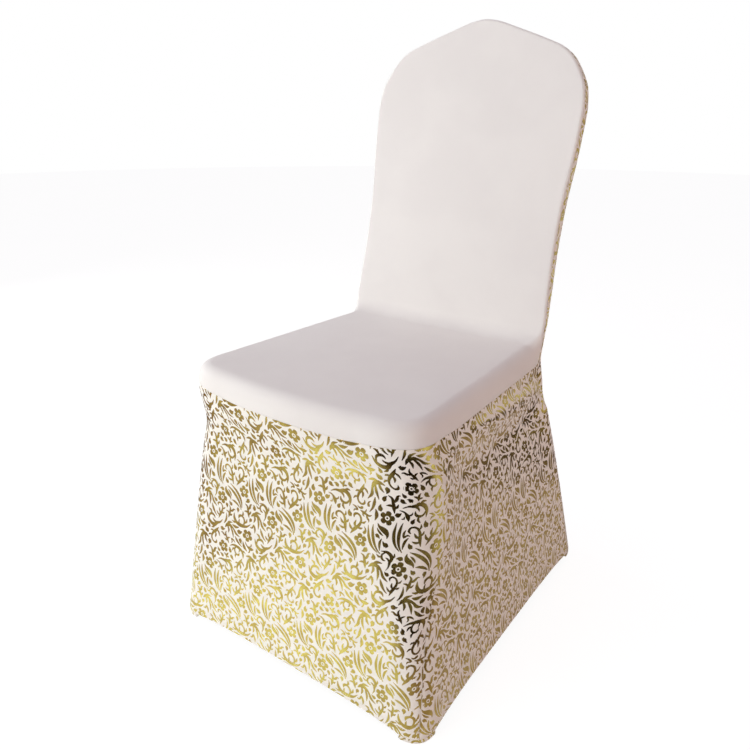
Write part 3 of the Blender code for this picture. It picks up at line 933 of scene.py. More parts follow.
class NodeSheet:
    """Wires the nodes of one material."""

    def __init__(self, name: str) -> None:
        """Start a material with its shader and output.

        Args:
            name: Name of the material.
        """
        self.material = bpy.data.materials.new(name)
        self.material.use_nodes = True
        self.tree = self.material.node_tree
        self.shader = self.tree.nodes["Principled BSDF"]

    def node(self, kind: str, **values: object) -> Node:
        """Add a node and set its properties.

        Args:
            kind: Type of the node.
            values: Properties to set.

        Returns:
            The new node.
        """
        new = self.tree.nodes.new(kind)
        for key, value in values.items():
            setattr(new, key, value)
        return new

    def link(self, source: Socket, target: Socket) -> None:
        """Join an output to an input."""
        self.tree.links.new(source, target)

    def math(self, operation: str, first: object, second: object = None,
             third: object = None) -> Socket:
        """Add a calculation.

        Args:
            operation: Name of the calculation.
            first: First number or socket.
            second: Second number or socket.
            third: Third number or socket.

        Returns:
            The output socket.
        """
        new = self.node("ShaderNodeMath", operation=operation)
        for place, value in enumerate((first, second, third)):
            if isinstance(value, (int, float)):
                new.inputs[place].default_value = value
            elif value is not None:
                self.link(value, new.inputs[place])
        return new.outputs[0]

    def noise(self, vector: Socket, scale: float, detail: float = 2.0,
              roughness: float = 0.5) -> Socket:
        """Add a noise texture.

        Args:
            vector: Socket of the place.
            scale: Waves in a metre.
            detail: Number of finer layers.
            roughness: Strength of the finer layers.

        Returns:
            Socket of its value.
        """
        new = self.node("ShaderNodeTexNoise")
        new.inputs["Scale"].default_value = scale
        new.inputs["Detail"].default_value = detail
        new.inputs["Roughness"].default_value = roughness
        self.link(vector, new.inputs["Vector"])
        return new.outputs["Fac"]

    def ramp(self, value: Socket, stops: Sequence[tuple[float, tuple]]) -> Socket:
        """Add a colour ramp.

        Args:
            value: Where to read it.
            stops: Positions with their colours.

        Returns:
            The colour socket.
        """
        new = self.node("ShaderNodeValToRGB")
        new.color_ramp.interpolation = "EASE"
        while len(new.color_ramp.elements) < len(stops):
            new.color_ramp.elements.new(0.5)
        for element, (at, colour) in zip(new.color_ramp.elements, stops):
            element.position = at
            element.color = (*colour, 1.0)
        self.link(value, new.inputs["Fac"])
        return new.outputs["Color"]

    def scaled(self, value: Socket, low: float, high: float) -> Socket:
        """Stretch a 0 to 1 value to a range.

        Args:
            value: Socket of the value.
            low: What 0 becomes.
            high: What 1 becomes.

        Returns:
            Socket of the result.
        """
        new = self.node("ShaderNodeMapRange")
        new.inputs["To Min"].default_value = low
        new.inputs["To Max"].default_value = high
        self.link(value, new.inputs["Value"])
        return new.outputs["Result"]

    def mixed(self, share: Socket | float, first: Socket, second: Socket) -> Socket:
        """Mix two shaders.

        Args:
            share: Share of the second.
            first: First shader's socket.
            second: Second shader's socket.

        Returns:
            The mix's socket.
        """
        new = self.node("ShaderNodeMixShader")
        if isinstance(share, float):
            new.inputs[0].default_value = share
        else:
            self.link(share, new.inputs[0])
        self.link(first, new.inputs[1])
        self.link(second, new.inputs[2])
        return new.outputs[0]

    def bump(self, height: Socket, strength: float, distance: float) -> None:
        """Put a relief on the shader.

        Args:
            height: Height from 0 to 1.
            strength: Share of the relief that shows.
            distance: Height of the relief, in metres.
        """
        new = self.node("ShaderNodeBump")
        new.inputs["Strength"].default_value = strength
        new.inputs["Distance"].default_value = distance
        self.link(height, new.inputs["Height"])
        self.link(new.outputs["Normal"], self.shader.inputs["Normal"])

    def knit(self, wale: float, course: float) -> Socket:
        """Height of a plain knit over the flat cut.

        Args:
            wale: Width of a column of loops, in metres.
            course: Height of a row of loops, in metres.

        Returns:
            Socket of the height, from 0 to 1.
        """
        cut = self.node("ShaderNodeAttribute", attribute_name="cut").outputs["Vector"]
        split = self.node("ShaderNodeSeparateXYZ")
        self.link(cut, split.inputs[0])
        across = self.math("FRACT", self.math("MULTIPLY", split.outputs["X"], 1.0 / wale))
        arm = self.math("ABSOLUTE", self.math("MULTIPLY_ADD", across, 2.0, -1.0))
        down = self.math("MULTIPLY", split.outputs["Y"], 1.0 / course)
        lean = self.math("MULTIPLY_ADD", arm, 0.45, down)
        loop = self.math("SINE", self.math("MULTIPLY", lean, 2.0 * math.pi))
        column = self.math("SINE", self.math("MULTIPLY", arm, math.pi))
        return self.math("MULTIPLY", self.math("MULTIPLY_ADD", loop, 0.5, 0.5), column)


@dataclass(frozen=True)
class KnitFinish:
    """Smooth ivory stretch knit."""

    name: str = "ivory_knit"
    pale: Triple = (0.838, 0.827, 0.812)
    dull: Triple = (0.815, 0.802, 0.790)
    roughness: float = 0.58
    specular: float = 0.35
    sheen: float = 0.25
    sheen_roughness: float = 0.45
    sheen_tint: Triple = (1.0, 0.98, 0.97)
    cloud_scale: float = 9.0
    fuzz_scale: float = 900.0
    soft_scale: float = 60.0
    relief: float = 0.35
    relief_height: float = 0.0002

    def build(self) -> Material:
        """Make the material.

        Returns:
            The material.
        """
        sheet = NodeSheet(self.name)
        shader = sheet.shader
        where = sheet.node("ShaderNodeTexCoord").outputs["Object"]
        cloud = sheet.noise(where, self.cloud_scale, 3.0)
        sheet.link(sheet.ramp(cloud, ((0.35, self.dull), (0.65, self.pale))),
                   shader.inputs["Base Color"])
        fuzz = sheet.noise(where, self.fuzz_scale, 1.0)
        sheet.link(sheet.scaled(fuzz, self.roughness - 0.07, self.roughness + 0.07),
                   shader.inputs["Roughness"])
        shader.inputs["Specular IOR Level"].default_value = self.specular
        shader.inputs["Sheen Weight"].default_value = self.sheen
        shader.inputs["Sheen Roughness"].default_value = self.sheen_roughness
        shader.inputs["Sheen Tint"].default_value = (*self.sheen_tint, 1.0)
        soft = sheet.noise(where, self.soft_scale, 2.0)
        height = sheet.math("MULTIPLY_ADD", soft, 0.5, sheet.knit(LOOP_WIDTH, LOOP_HEIGHT))
        sheet.bump(height, self.relief, self.relief_height)
        return sheet.material


@dataclass(frozen=True)
class FoilFinish:
    """Gold foil pressed on the knit: a metal skin that keeps the grain of the cloth."""

    name: str = "gold_foil"
    deep: Triple = (0.64, 0.43, 0.115)
    bright: Triple = (0.88, 0.66, 0.19)
    roughness: float = 0.15
    tone_scale: float = 55.0
    rub_scale: float = 240.0
    grain_scale: float = 420.0
    relief: float = 0.13
    relief_height: float = 0.0002

    def build(self) -> Material:
        """Make the material.

        Returns:
            The material.
        """
        sheet = NodeSheet(self.name)
        shader = sheet.shader
        where = sheet.node("ShaderNodeTexCoord").outputs["Object"]
        tone = sheet.noise(where, self.tone_scale, 3.0, 0.6)
        sheet.link(sheet.ramp(tone, ((0.3, self.deep), (0.7, self.bright))),
                   shader.inputs["Base Color"])
        shader.inputs["Metallic"].default_value = 1.0
        rub = sheet.noise(where, self.rub_scale, 3.0, 0.6)
        sheet.link(sheet.scaled(rub, self.roughness - 0.05, self.roughness + 0.08),
                   shader.inputs["Roughness"])
        grain = sheet.noise(where, self.grain_scale, 2.0)
        height = sheet.math("MULTIPLY_ADD", grain, 0.8, sheet.knit(LOOP_WIDTH, LOOP_HEIGHT))
        sheet.bump(height, self.relief, self.relief_height)
        return sheet.material


@dataclass(frozen=True)
class ThreadFinish:
    """Ivory sewing thread with a twist."""

    name: str = "ivory_thread"
    colour: Triple = (0.80, 0.76, 0.70)
    darker: float = 0.86
    roughness: float = 0.55
    tone_scale: float = 300.0
    twist_scale: float = 2600.0
    relief: float = 0.4
    relief_height: float = 0.0001

    def build(self) -> Material:
        """Make the material.

        Returns:
            The material.
        """
        sheet = NodeSheet(self.name)
        shader = sheet.shader
        where = sheet.node("ShaderNodeTexCoord").outputs["Object"]
        tone = sheet.noise(where, self.tone_scale, 2.0)
        dark = tuple(self.darker * c for c in self.colour)
        sheet.link(sheet.ramp(tone, ((0.3, dark), (0.7, self.colour))),
                   shader.inputs["Base Color"])
        shader.inputs["Roughness"].default_value = self.roughness
        twist = sheet.noise(where, self.twist_scale, 1.0)
        sheet.bump(twist, self.relief, self.relief_height)
        return sheet.material


@dataclass(frozen=True)
class Glow:
    """A soft round patch painted on the floor's glow, which the foil mirrors.

    A positive strength adds painted light. A negative one takes away that share of what is there,
    as painted shade."""

    place: Pair
    full: float
    reach: float
    strength: float


@dataclass(frozen=True)
class FloorFinish:
    """Pale seamless studio floor with painted light and painted shade for the foil to mirror.

    The picture shows it as a near-white sheet with soft contact shadows. Only glossy rays see its
    painted emission, bright near the cover's front and shaded farther away, which the foil mirrors
    as painted reflections; other rays also meet a painted glow before the front that lights the
    cover."""

    name: str = "studio_floor"
    pale: Triple = (0.86, 0.86, 0.86)
    dull: Triple = (0.84, 0.84, 0.845)
    white: float = 1.16
    whiteness: float = 0.78
    # Painted reflection seen only by glossy rays: its base brightness and its tints from painted
    # shade to painted light.
    mirrored: float = 0.55
    shaded: Triple = (1.0, 0.80, 0.80)
    lit: Triple = (0.95, 1.09, 1.0)
    # Painted glow before the cover's front that lights the cover, though the floor is no lamp:
    # which patch, and how strongly.
    front_glow: int = 1
    lit_front: float = 0.22
    # Patches of painted light, and of painted shade where the strength is negative.
    glows: tuple[Glow, ...] = (Glow((0.0, 0.0), 1.25, 1.70, -0.52),
                               Glow((-0.20, -0.42), 0.15, 0.66, 0.66),
                               Glow((-0.78, -0.95), 0.12, 0.36, 0.50),
                               Glow((1.10, 0.03), 0.15, 0.42, 0.62),
                               Glow((0.38, 0.25), 0.20, 0.50, 0.07),
                               Glow((0.52, -1.15), 0.68, 0.80, -0.92),
                               Glow((0.80, -0.42), 0.30, 0.45, -0.90),
                               Glow((0.58, 0.82), 0.14, 0.32, -0.88),
                               Glow((-0.42, -0.51), 0.08, 0.23, -0.55))

    def build(self) -> Material:
        """Make the material.

        Returns:
            The material.
        """
        sheet = NodeSheet(self.name)
        where = sheet.node("ShaderNodeTexCoord").outputs["Object"]
        cloud = sheet.noise(where, 1.5, 3.0)
        sheet.link(sheet.ramp(cloud, ((0.35, self.dull), (0.65, self.pale))),
                   sheet.shader.inputs["Base Color"])
        sheet.shader.inputs["Roughness"].default_value = 0.8
        sheet.shader.inputs["Specular IOR Level"].default_value = 0.2
        sheet.bump(sheet.noise(where, 40.0, 2.0), 0.05, 0.001)
        # Glossy rays see only painted emission: patches of painted light and painted shade, tinted
        # from shaded to lit, which the foil mirrors as painted reflections.
        rays = sheet.node("ShaderNodeLightPath")
        patches = [self.patch(sheet, glow) for glow in self.glows]
        mirrored: Socket | float = self.mirrored
        for glow, patch in zip(self.glows, patches):
            if glow.strength > 0.0:
                mirrored = sheet.math("MULTIPLY_ADD", patch, glow.strength, mirrored)
            else:
                left = sheet.math("MULTIPLY_ADD", patch, glow.strength, 1.0)
                mirrored = sheet.math("MULTIPLY", mirrored, left)
        # Rays other than glossy and camera rays meet the lit floor plus a painted glow before the
        # front, which lights the cover though the floor is no lamp.
        lit = self.glowing(sheet, sheet.math("MULTIPLY", patches[self.front_glow], self.lit_front))
        tint = sheet.ramp(mirrored, ((0.1, self.shaded), (0.8, self.lit)))
        both = sheet.node("ShaderNodeAddShader")
        sheet.link(sheet.shader.outputs[0], both.inputs[0])
        sheet.link(lit, both.inputs[1])
        surface = sheet.mixed(rays.outputs["Is Glossy Ray"], both.outputs[0],
                              self.glowing(sheet, mirrored, tint))
        seen = sheet.mixed(self.whiteness, sheet.shader.outputs[0],
                           self.glowing(sheet, self.white))
        surface = sheet.mixed(rays.outputs["Is Camera Ray"], surface, seen)
        sheet.link(surface, sheet.tree.nodes["Material Output"].inputs["Surface"])
        return sheet.material

    def patch(self, sheet: NodeSheet, glow: Glow) -> Socket:
        """Value of a patch over the floor.

        Args:
            sheet: The floor's nodes.
            glow: The patch.

        Returns:
            Socket of the value, from 1 at its middle to 0 beyond its reach.
        """
        place = sheet.node("ShaderNodeNewGeometry").outputs["Position"]
        away = sheet.node("ShaderNodeVectorMath", operation="DISTANCE")
        sheet.link(place, away.inputs[0])
        away.inputs[1].default_value = (*glow.place, 0.0)
        fade = sheet.node("ShaderNodeMapRange", interpolation_type="SMOOTHSTEP")
        for name, value in (("From Min", glow.full), ("From Max", glow.reach),
                            ("To Min", 1.0), ("To Max", 0.0)):
            fade.inputs[name].default_value = value
        sheet.link(away.outputs["Value"], fade.inputs["Value"])
        return fade.outputs["Result"]

    def glowing(self, sheet: NodeSheet, strength: Socket | float,
                tint: Socket | None = None) -> Socket:
        """Shader of a glow.

        Args:
            sheet: The floor's nodes.
            strength: Brightness.
            tint: Socket of its colour, white without one.

        Returns:
            The shader's socket.
        """
        glow = sheet.node("ShaderNodeEmission")
        if tint is not None:
            sheet.link(tint, glow.inputs["Color"])
        if isinstance(strength, float):
            glow.inputs["Strength"].default_value = strength
        else:
            sheet.link(strength, glow.inputs["Strength"])
        return glow.outputs[0]


# Foil print


@dataclass(frozen=True)
class Motif:
    """One small figure of the print: ribbons as rows of (x, y, half-width), in millimetres."""

    ribbons: tuple[tuple[Triple, ...], ...]
    step: float = 1.7
    boldness: float = 1.16
    least_half: float = 0.15

    def sections(self) -> list[Ribbon]:
        """Cross sections of each ribbon.

        Returns:
            For each ribbon its left, middle and right points, shape (n, 3, 2), and whether it
            closes on itself.
        """
        out = []
        for rows in self.ribbons:
            fine = spline(rows)
            run = run_of(fine[:, :2])
            at = np.linspace(0.0, run[-1], max(3, round(run[-1] / self.step)) + 1)
            c = np.stack([np.interp(at, run, fine[:, k]) for k in range(3)], 1)
            way = np.gradient(c[:, :2], axis=0)
            way /= np.linalg.norm(way, axis=1)[:, None]
            half = np.maximum(self.boldness * c[:, 2:3], self.least_half)
            side = np.stack([-way[:, 1], way[:, 0]], 1) * half
            out.append((np.stack([c[:, :2] + side, c[:, :2], c[:, :2] - side], 1), False))
        return out


@dataclass(frozen=True)
class Blossom:
    """Five rounded petals round a pale ring with a dot, in millimetres."""

    reach: float = 8.2
    ring: float = 2.5
    dot: float = 1.25
    petals: int = 5
    notch: float = 0.40
    roundness: float = 0.45
    steps: int = 30

    def sections(self) -> list[Ribbon]:
        """Cross sections of the petals and of the dot.

        Returns:
            Two closed ribbons, as a Motif gives them.
        """
        turn = np.linspace(0.0, 2.0 * math.pi, self.steps, endpoint=False)
        way = np.stack([np.cos(turn), np.sin(turn)], 1)
        swell = np.abs(np.cos(0.5 * self.petals * turn)) ** self.roundness
        outer = self.reach * (1.0 - self.notch + self.notch * swell)
        middle = 0.5 * (outer + self.ring)
        petals = np.stack([way * self.ring, way * middle[:, None], way * outer[:, None]], 1)
        few = way[::3]
        dot = np.stack([few * 0.05, few * 0.55 * self.dot, few * self.dot], 1)
        return [(petals, True), (dot, True)]


FIGURES: dict[str, Motif | Blossom] = {
    "flower": Blossom(),
    "leaf": Motif((
        ((0, 0, 0.3), (1, 3.4, 1.5), (1.2, 7.2, 2.1), (0.2, 11, 1.3), (-1.4, 14.2, 0.25)),)),
    "slim_leaf": Motif((
        ((0, 0, 0.3), (1.4, 4, 1), (1.9, 9, 1.5), (1, 14, 1.1), (-1.2, 18.6, 0.25)),)),
    "double_leaf": Motif((
        ((0, 0, 0.4), (1, 4.5, 0.7), (0.6, 10, 1.1), (-1.4, 16, 1.3), (-4.6, 21.6, 0.9),
         (-7.9, 25.6, 0.2)),
        ((1.9, 1.8, 0.3), (3.7, 6.5, 0.8), (3.9, 12, 1.2), (2.3, 18, 1.2), (-0.5, 23.2, 0.7),
         (-2.9, 27, 0.2)),
        ((-0.9, 2.6, 0.3), (-2.5, 6, 0.9), (-5.2, 9.4, 1), (-8.4, 11.4, 0.25)),)),
    "curl": Motif((
        ((-0.4, -1, 0.3), (1.4, 2.6, 1.2), (1.4, 7.2, 1.6), (-0.8, 11.2, 1.7),
         (-4.8, 12.8, 1.3), (-8, 10.9, 1), (-8.4, 7.7, 1.2), (-6.6, 5.9, 1.6), (-5, 5.9, 0.5)),
        ((2.6, 6.2, 0.3), (4.6, 9.2, 1), (5, 13.2, 0.9), (3.8, 16.4, 0.25)),
        ((-4.4, 13.9, 0.3), (-6.4, 15.6, 1.1), (-9.4, 16, 0.25)),)),
    "acanthus": Motif((
        ((-6.6, 14.6, 0.25), (-8.7, 9.4, 1.4), (-7.6, 4.2, 1.6), (-3.6, 0.6, 1.9),
         (1.2, -1.6, 1.6), (6.4, -2.6, 1), (12.4, -1, 0.25)),
        ((-7.9, 4.4, 0.5), (-10.8, 4.6, 1.1), (-13.8, 7.4, 0.25)),
        ((0.4, -0.8, 0.6), (4, 1.8, 1), (5.2, 5.8, 1), (3.4, 9.6, 1), (-0.4, 10.2, 1.3),
         (-2.4, 7.4, 0.25)),
        ((3.6, 9.6, 0.5), (6.2, 11, 1.1), (7.2, 14.2, 0.25)),
        ((3.8, 1.4, 0.5), (7.4, 2.2, 1.1), (9.8, 5.2, 0.25)),
        ((-3.9, 2.2, 0.5), (-3.4, 4.8, 0.9), (-1.4, 6.8, 0.25)),)),
    "sweep": Motif((
        ((-12.2, 2.5, 0.25), (-6.9, 3.3, 0.8), (-1.7, 2, 1.4), (3, 2.1, 1.7), (6.3, -1.2, 1.7),
         (7, -6.4, 1.3), (4.6, -12, 0.25)),
        ((-1.9, 1.4, 0.6), (0.6, -1.2, 1), (0.6, -4.4, 0.25)),
        ((6.2, -6.4, 0.6), (2.6, -9, 0.9), (-1.3, -8.4, 1.2), (-3.2, -5.4, 1), (-2.4, -2.6, 0.25)),
        ((-1.2, -8.8, 0.5), (-2.6, -11.8, 1.1), (-1.2, -15, 0.25)),
        ((3.4, 2.6, 0.6), (6.6, 3.4, 1), (9.4, 2, 0.25)),)),
    "fork": Motif((
        ((-1.4, -10.2, 0.3), (0.2, -5.1, 1.6), (1.8, -0.4, 1.3), (3.6, 3.6, 1.1), (7.4, 5.2, 0.3)),
        ((1.4, 0.2, 0.8), (-0.8, 3.6, 1.4), (-1.4, 7.4, 1), (-4, 8.6, 0.25)),
        ((0.6, -4.2, 0.7), (4, -3.8, 1.1), (7.4, -5.2, 0.25)),
        ((-0.3, -5.6, 0.6), (-2.6, -3.4, 1.1), (-3.1, -0.4, 0.25)),)),
    "fiddle": Motif((
        ((8.4, -11.8, 0.25), (3.8, -6.6, 1.5), (-0.9, -2.6, 1.3), (-3.7, 2, 1),
         (-3.3, 6.6, 0.9), (-0.2, 9, 0.9), (3.2, 7.8, 1.1), (3.6, 4.8, 0.3)),
        ((2.2, -4.9, 0.6), (3.2, -1.4, 1.2), (1.5, 2.6, 0.25)),
        ((5.2, -8, 0.6), (8, -5.2, 1.1), (8.9, -1.2, 0.25)),
        ((-3.7, 1.2, 0.4), (-6.4, 0.9, 1), (-9, 3, 0.25)),
        ((0.4, -4.1, 0.5), (-2.4, -5.2, 1.1), (-5, -4.2, 0.25)),)),
    "plume": Motif((
        ((-4.4, -2.2, 0.3), (-1, 1.2, 1.6), (3.6, 1.4, 1.5), (8, -1.8, 0.9), (10.8, -6.4, 1.2),
         (16, -9.4, 0.25)),
        ((-0.9, 1.8, 0.6), (2.4, 4.6, 1.2), (7.4, 5.2, 0.25)),
        ((3.4, 0.8, 0.6), (6, -5.2, 1.1), (6.4, -11.8, 0.25)),
        ((9, -9.4, 0.3), (11.2, -13.6, 1.2), (14.4, -17.6, 0.8), (18, -20, 0.25)),
        ((-0.5, 0.8, 0.6), (0.9, -3.4, 1.1), (-0.2, -7.4, 0.25)),)),
    "branch": Motif((
        ((0, 0, 0.4), (0.4, 4, 1), (0, 8.6, 1.2), (-2.4, 12.6, 1.4), (-5, 15, 2.3),
         (-6.6, 17.2, 0.9)),
        ((1.2, 7.8, 0.5), (3, 11.4, 1.2), (3.4, 15.2, 2.2), (2.6, 18.4, 1.7), (1.2, 20.2, 0.3)),
        ((-8.8, 13.6, 0.3), (-6.9, 15.6, 1), (-4.2, 17.8, 0.9), (-2.2, 18.6, 0.25)),)),
    "lily": Motif((
        ((0, 0, 0.3), (1.8, 3.4, 0.9), (2.2, 7.4, 1.2), (0.6, 11.6, 2.4), (-1.6, 14.6, 2.2),
         (-4.6, 17.4, 0.3)),
        ((1.6, 12.2, 0.4), (3.6, 14.4, 1.1), (6.4, 15.2, 0.8), (8.6, 14.2, 0.25)),
        ((-2.4, 9.4, 0.3), (-4.8, 11, 1), (-6.6, 10.2, 0.9), (-7.6, 8.4, 0.25)),)),
    "flame": Motif((
        ((0, 0, 0.3), (2.2, 3.4, 1.6), (2.2, 8, 2.9), (-0.2, 12.2, 2.6), (-2.4, 16.2, 1.5),
         (-2.4, 20.4, 0.3)),
        ((-2.4, 4.6, 0.3), (-4.4, 8.2, 1.2), (-5.6, 12.4, 1), (-5.4, 15.6, 0.25)),)),
    "comma": Motif((
        ((0, 0, 0.25), (1.4, 2.6, 0.9), (1.4, 5.4, 1.3), (-0.2, 7.6, 1.9), (-1.7, 8.2, 1.5),
         (-2.8, 8.1, 0.4)),)),
    "hook": Motif((
        ((0, 0, 0.3), (1.6, 3.2, 1), (2, 6.6, 1.2), (1.4, 9.4, 0.9), (-0.9, 6.9, 0.9),
         (-2.9, 6.1, 0.9), (-5, 7.2, 0.3)),)),
    "sprout": Motif((
        ((0, 0, 0.4), (0.4, 3, 1.3), (-0.6, 6.4, 1.1), (-2.6, 9, 0.25)),
        ((0.9, 2.4, 0.4), (2.8, 4.6, 1.2), (5.2, 5.4, 0.3)),
        ((-0.5, 1.9, 0.4), (-2.4, 3.2, 1), (-4.4, 3.2, 0.3)),)),
    "bulb": Motif((
        ((0, -2.4, 0.3), (0.2, -1.2, 1.9), (0, 0.6, 2.5), (-0.5, 2.4, 2), (-1.4, 4, 1),
         (-2.8, 5.2, 0.25)),)),
}


@dataclass(frozen=True)
class Scatter:
    """One round of filling the repeat: which figures, how many, how big and how turned."""

    names: tuple[str, ...]
    most: int
    sizes: Pair
    spread: float
    turned_back: float = 0.40


@dataclass(frozen=True)
class PrintLayout:
    """Places the figures in one repeat a small gap apart, where the room is widest.

    Lengths are in millimetres and turns in degrees."""

    width: float = 105.0
    height: float = 195.0
    seed: int = 5
    grain: float = 0.5
    widest: float = 14.0
    gap: float = 1.2
    least_room: float = 1.2
    least_spare: float = 1.0
    choice: float = 0.55
    flow: float = 28.0
    tries: int = 60
    flowers: tuple[Pair, ...] = ((22, 14), (77, 54), (45, 99), (9, 139),
                                                (68, 166))
    flower_sizes: Pair = (1.20, 1.28)
    rounds: tuple[Scatter, ...] = (
        Scatter(("acanthus", "sweep", "plume", "double_leaf", "fiddle"), 10, (1.45, 1.70), 18,
                0.35),
        Scatter(("acanthus", "fork", "fiddle", "sweep", "double_leaf", "plume"), 10,
                (1.20, 1.45), 24),
        Scatter(("curl", "branch", "fork", "lily", "double_leaf", "acanthus", "flame"), 14,
                (1.00, 1.30), 30),
        Scatter(("slim_leaf", "leaf", "bulb", "curl", "hook", "lily", "fork", "flame"), 30,
                (1.00, 1.40), 40),
        Scatter(("leaf", "bulb", "sprout", "hook", "comma"), 22, (0.95, 1.25), 60))

    def ribbons(self) -> list[Ribbon]:
        """Lay out the repeat.

        Returns:
            Cross sections of each ribbon, and whether it closes on itself.
        """
        shapes = {name: figure.sections() for name, figure in FIGURES.items()}
        dice = np.random.default_rng(self.seed)
        room = np.full((round(self.height / self.grain), round(self.width / self.grain)),
                       self.widest)
        laid: list[Ribbon] = []
        for spot in self.flowers:
            turn, size = dice.uniform(0.0, 72.0), dice.uniform(*self.flower_sizes)
            laid += self.take_room(self.drawn(shapes["flower"], spot, turn, size, False), room)
        for scatter in self.rounds:
            for _ in range(scatter.most):
                if room.max() - self.gap < self.least_room:
                    break
                laid += self.take_room(self.found(scatter, shapes, dice, room), room)
        return laid

    def drawn(self, shape: list[Ribbon], spot: Sequence[float], turn: float,
              size: float, flip: bool) -> list[Ribbon]:
        """A figure's ribbons in their place.

        Args:
            shape: Its ribbons at full size, as a Motif gives them.
            spot: Its place across and down.
            turn: Its turn.
            size: Its scale.
            flip: Whether it is mirrored.

        Returns:
            Its ribbons, y running down the cloth.
        """
        angle = math.radians(turn)
        rot = np.array([[math.cos(angle), math.sin(angle)], [-math.sin(angle), math.cos(angle)]])
        out = []
        for rows, closed in shape:
            rows = rows * size * np.array([-1.0 if flip else 1.0, 1.0])
            rows = rows @ rot * np.array([1.0, -1.0]) + np.array(spot)
            out.append((rows[:, ::-1] if flip else rows, closed))
        return out

    def found(self, scatter: Scatter, shapes: dict[str, list[Ribbon]],
              dice: np.random.Generator, room: Array) -> list[Ribbon]:
        """Find a place with room for one more figure.

        Args:
            scatter: The round.
            shapes: Ribbons of each figure.
            dice: Seeded random numbers.
            room: Distance from each place of the repeat to the nearest figure.

        Returns:
            The figure's ribbons, none where nothing fits.
        """
        order = dice.permutation(len(scatter.names))
        spare = room - self.gap
        wide = np.argwhere(spare > max(self.choice * spare.max(), self.least_spare))
        for k in range(self.tries):
            shape = shapes[scatter.names[order[k % len(order)]]]
            spot = wide[dice.integers(len(wide))][::-1] * self.grain
            turn = self.flow + dice.normal(0.0, scatter.spread)
            turn += 180.0 if dice.random() < scatter.turned_back else 0.0
            size, flip = dice.uniform(*scatter.sizes), bool(dice.random() < 0.5)
            figure = self.drawn(shape, (0.0, 0.0), turn, size, flip)
            middle = np.concatenate([rows[:, 1] for rows, _ in figure]).mean(0)
            figure = [(rows - middle + spot, closed) for rows, closed in figure]
            if all((room[self.cells(rows, room)] > self.gap).all() for rows, _ in figure):
                return figure
        return []

    def cells(self, rows: Array, room: Array) -> tuple[Array, Array]:
        """Cells of the room that points fall in, wrapped round the repeat."""
        cell = np.round(rows / self.grain).astype(int)
        return cell[..., 1] % room.shape[0], cell[..., 0] % room.shape[1]

    def take_room(self, figure: list[Ribbon], room: Array) -> list[Ribbon]:
        """Lower the room round a figure.

        Args:
            figure: Its ribbons.
            room: Distance to the nearest figure, changed here.

        Returns:
            The same ribbons.
        """
        steps = np.arange(-round(self.widest / self.grain), round(self.widest / self.grain) + 1)
        for rows, _ in figure:
            for left, middle, right in np.concatenate([rows, 0.5 * (rows[:-1] + rows[1:])]):
                across, down = np.round(middle / self.grain).astype(int)
                x, y = across + steps, down + steps
                away = np.hypot(x[None] * self.grain - middle[0],
                                y[:, None] * self.grain - middle[1])
                away -= 0.5 * np.linalg.norm(left - right)
                spot = np.ix_(y % room.shape[0], x % room.shape[1])
                room[spot] = np.minimum(room[spot], away)
        return figure


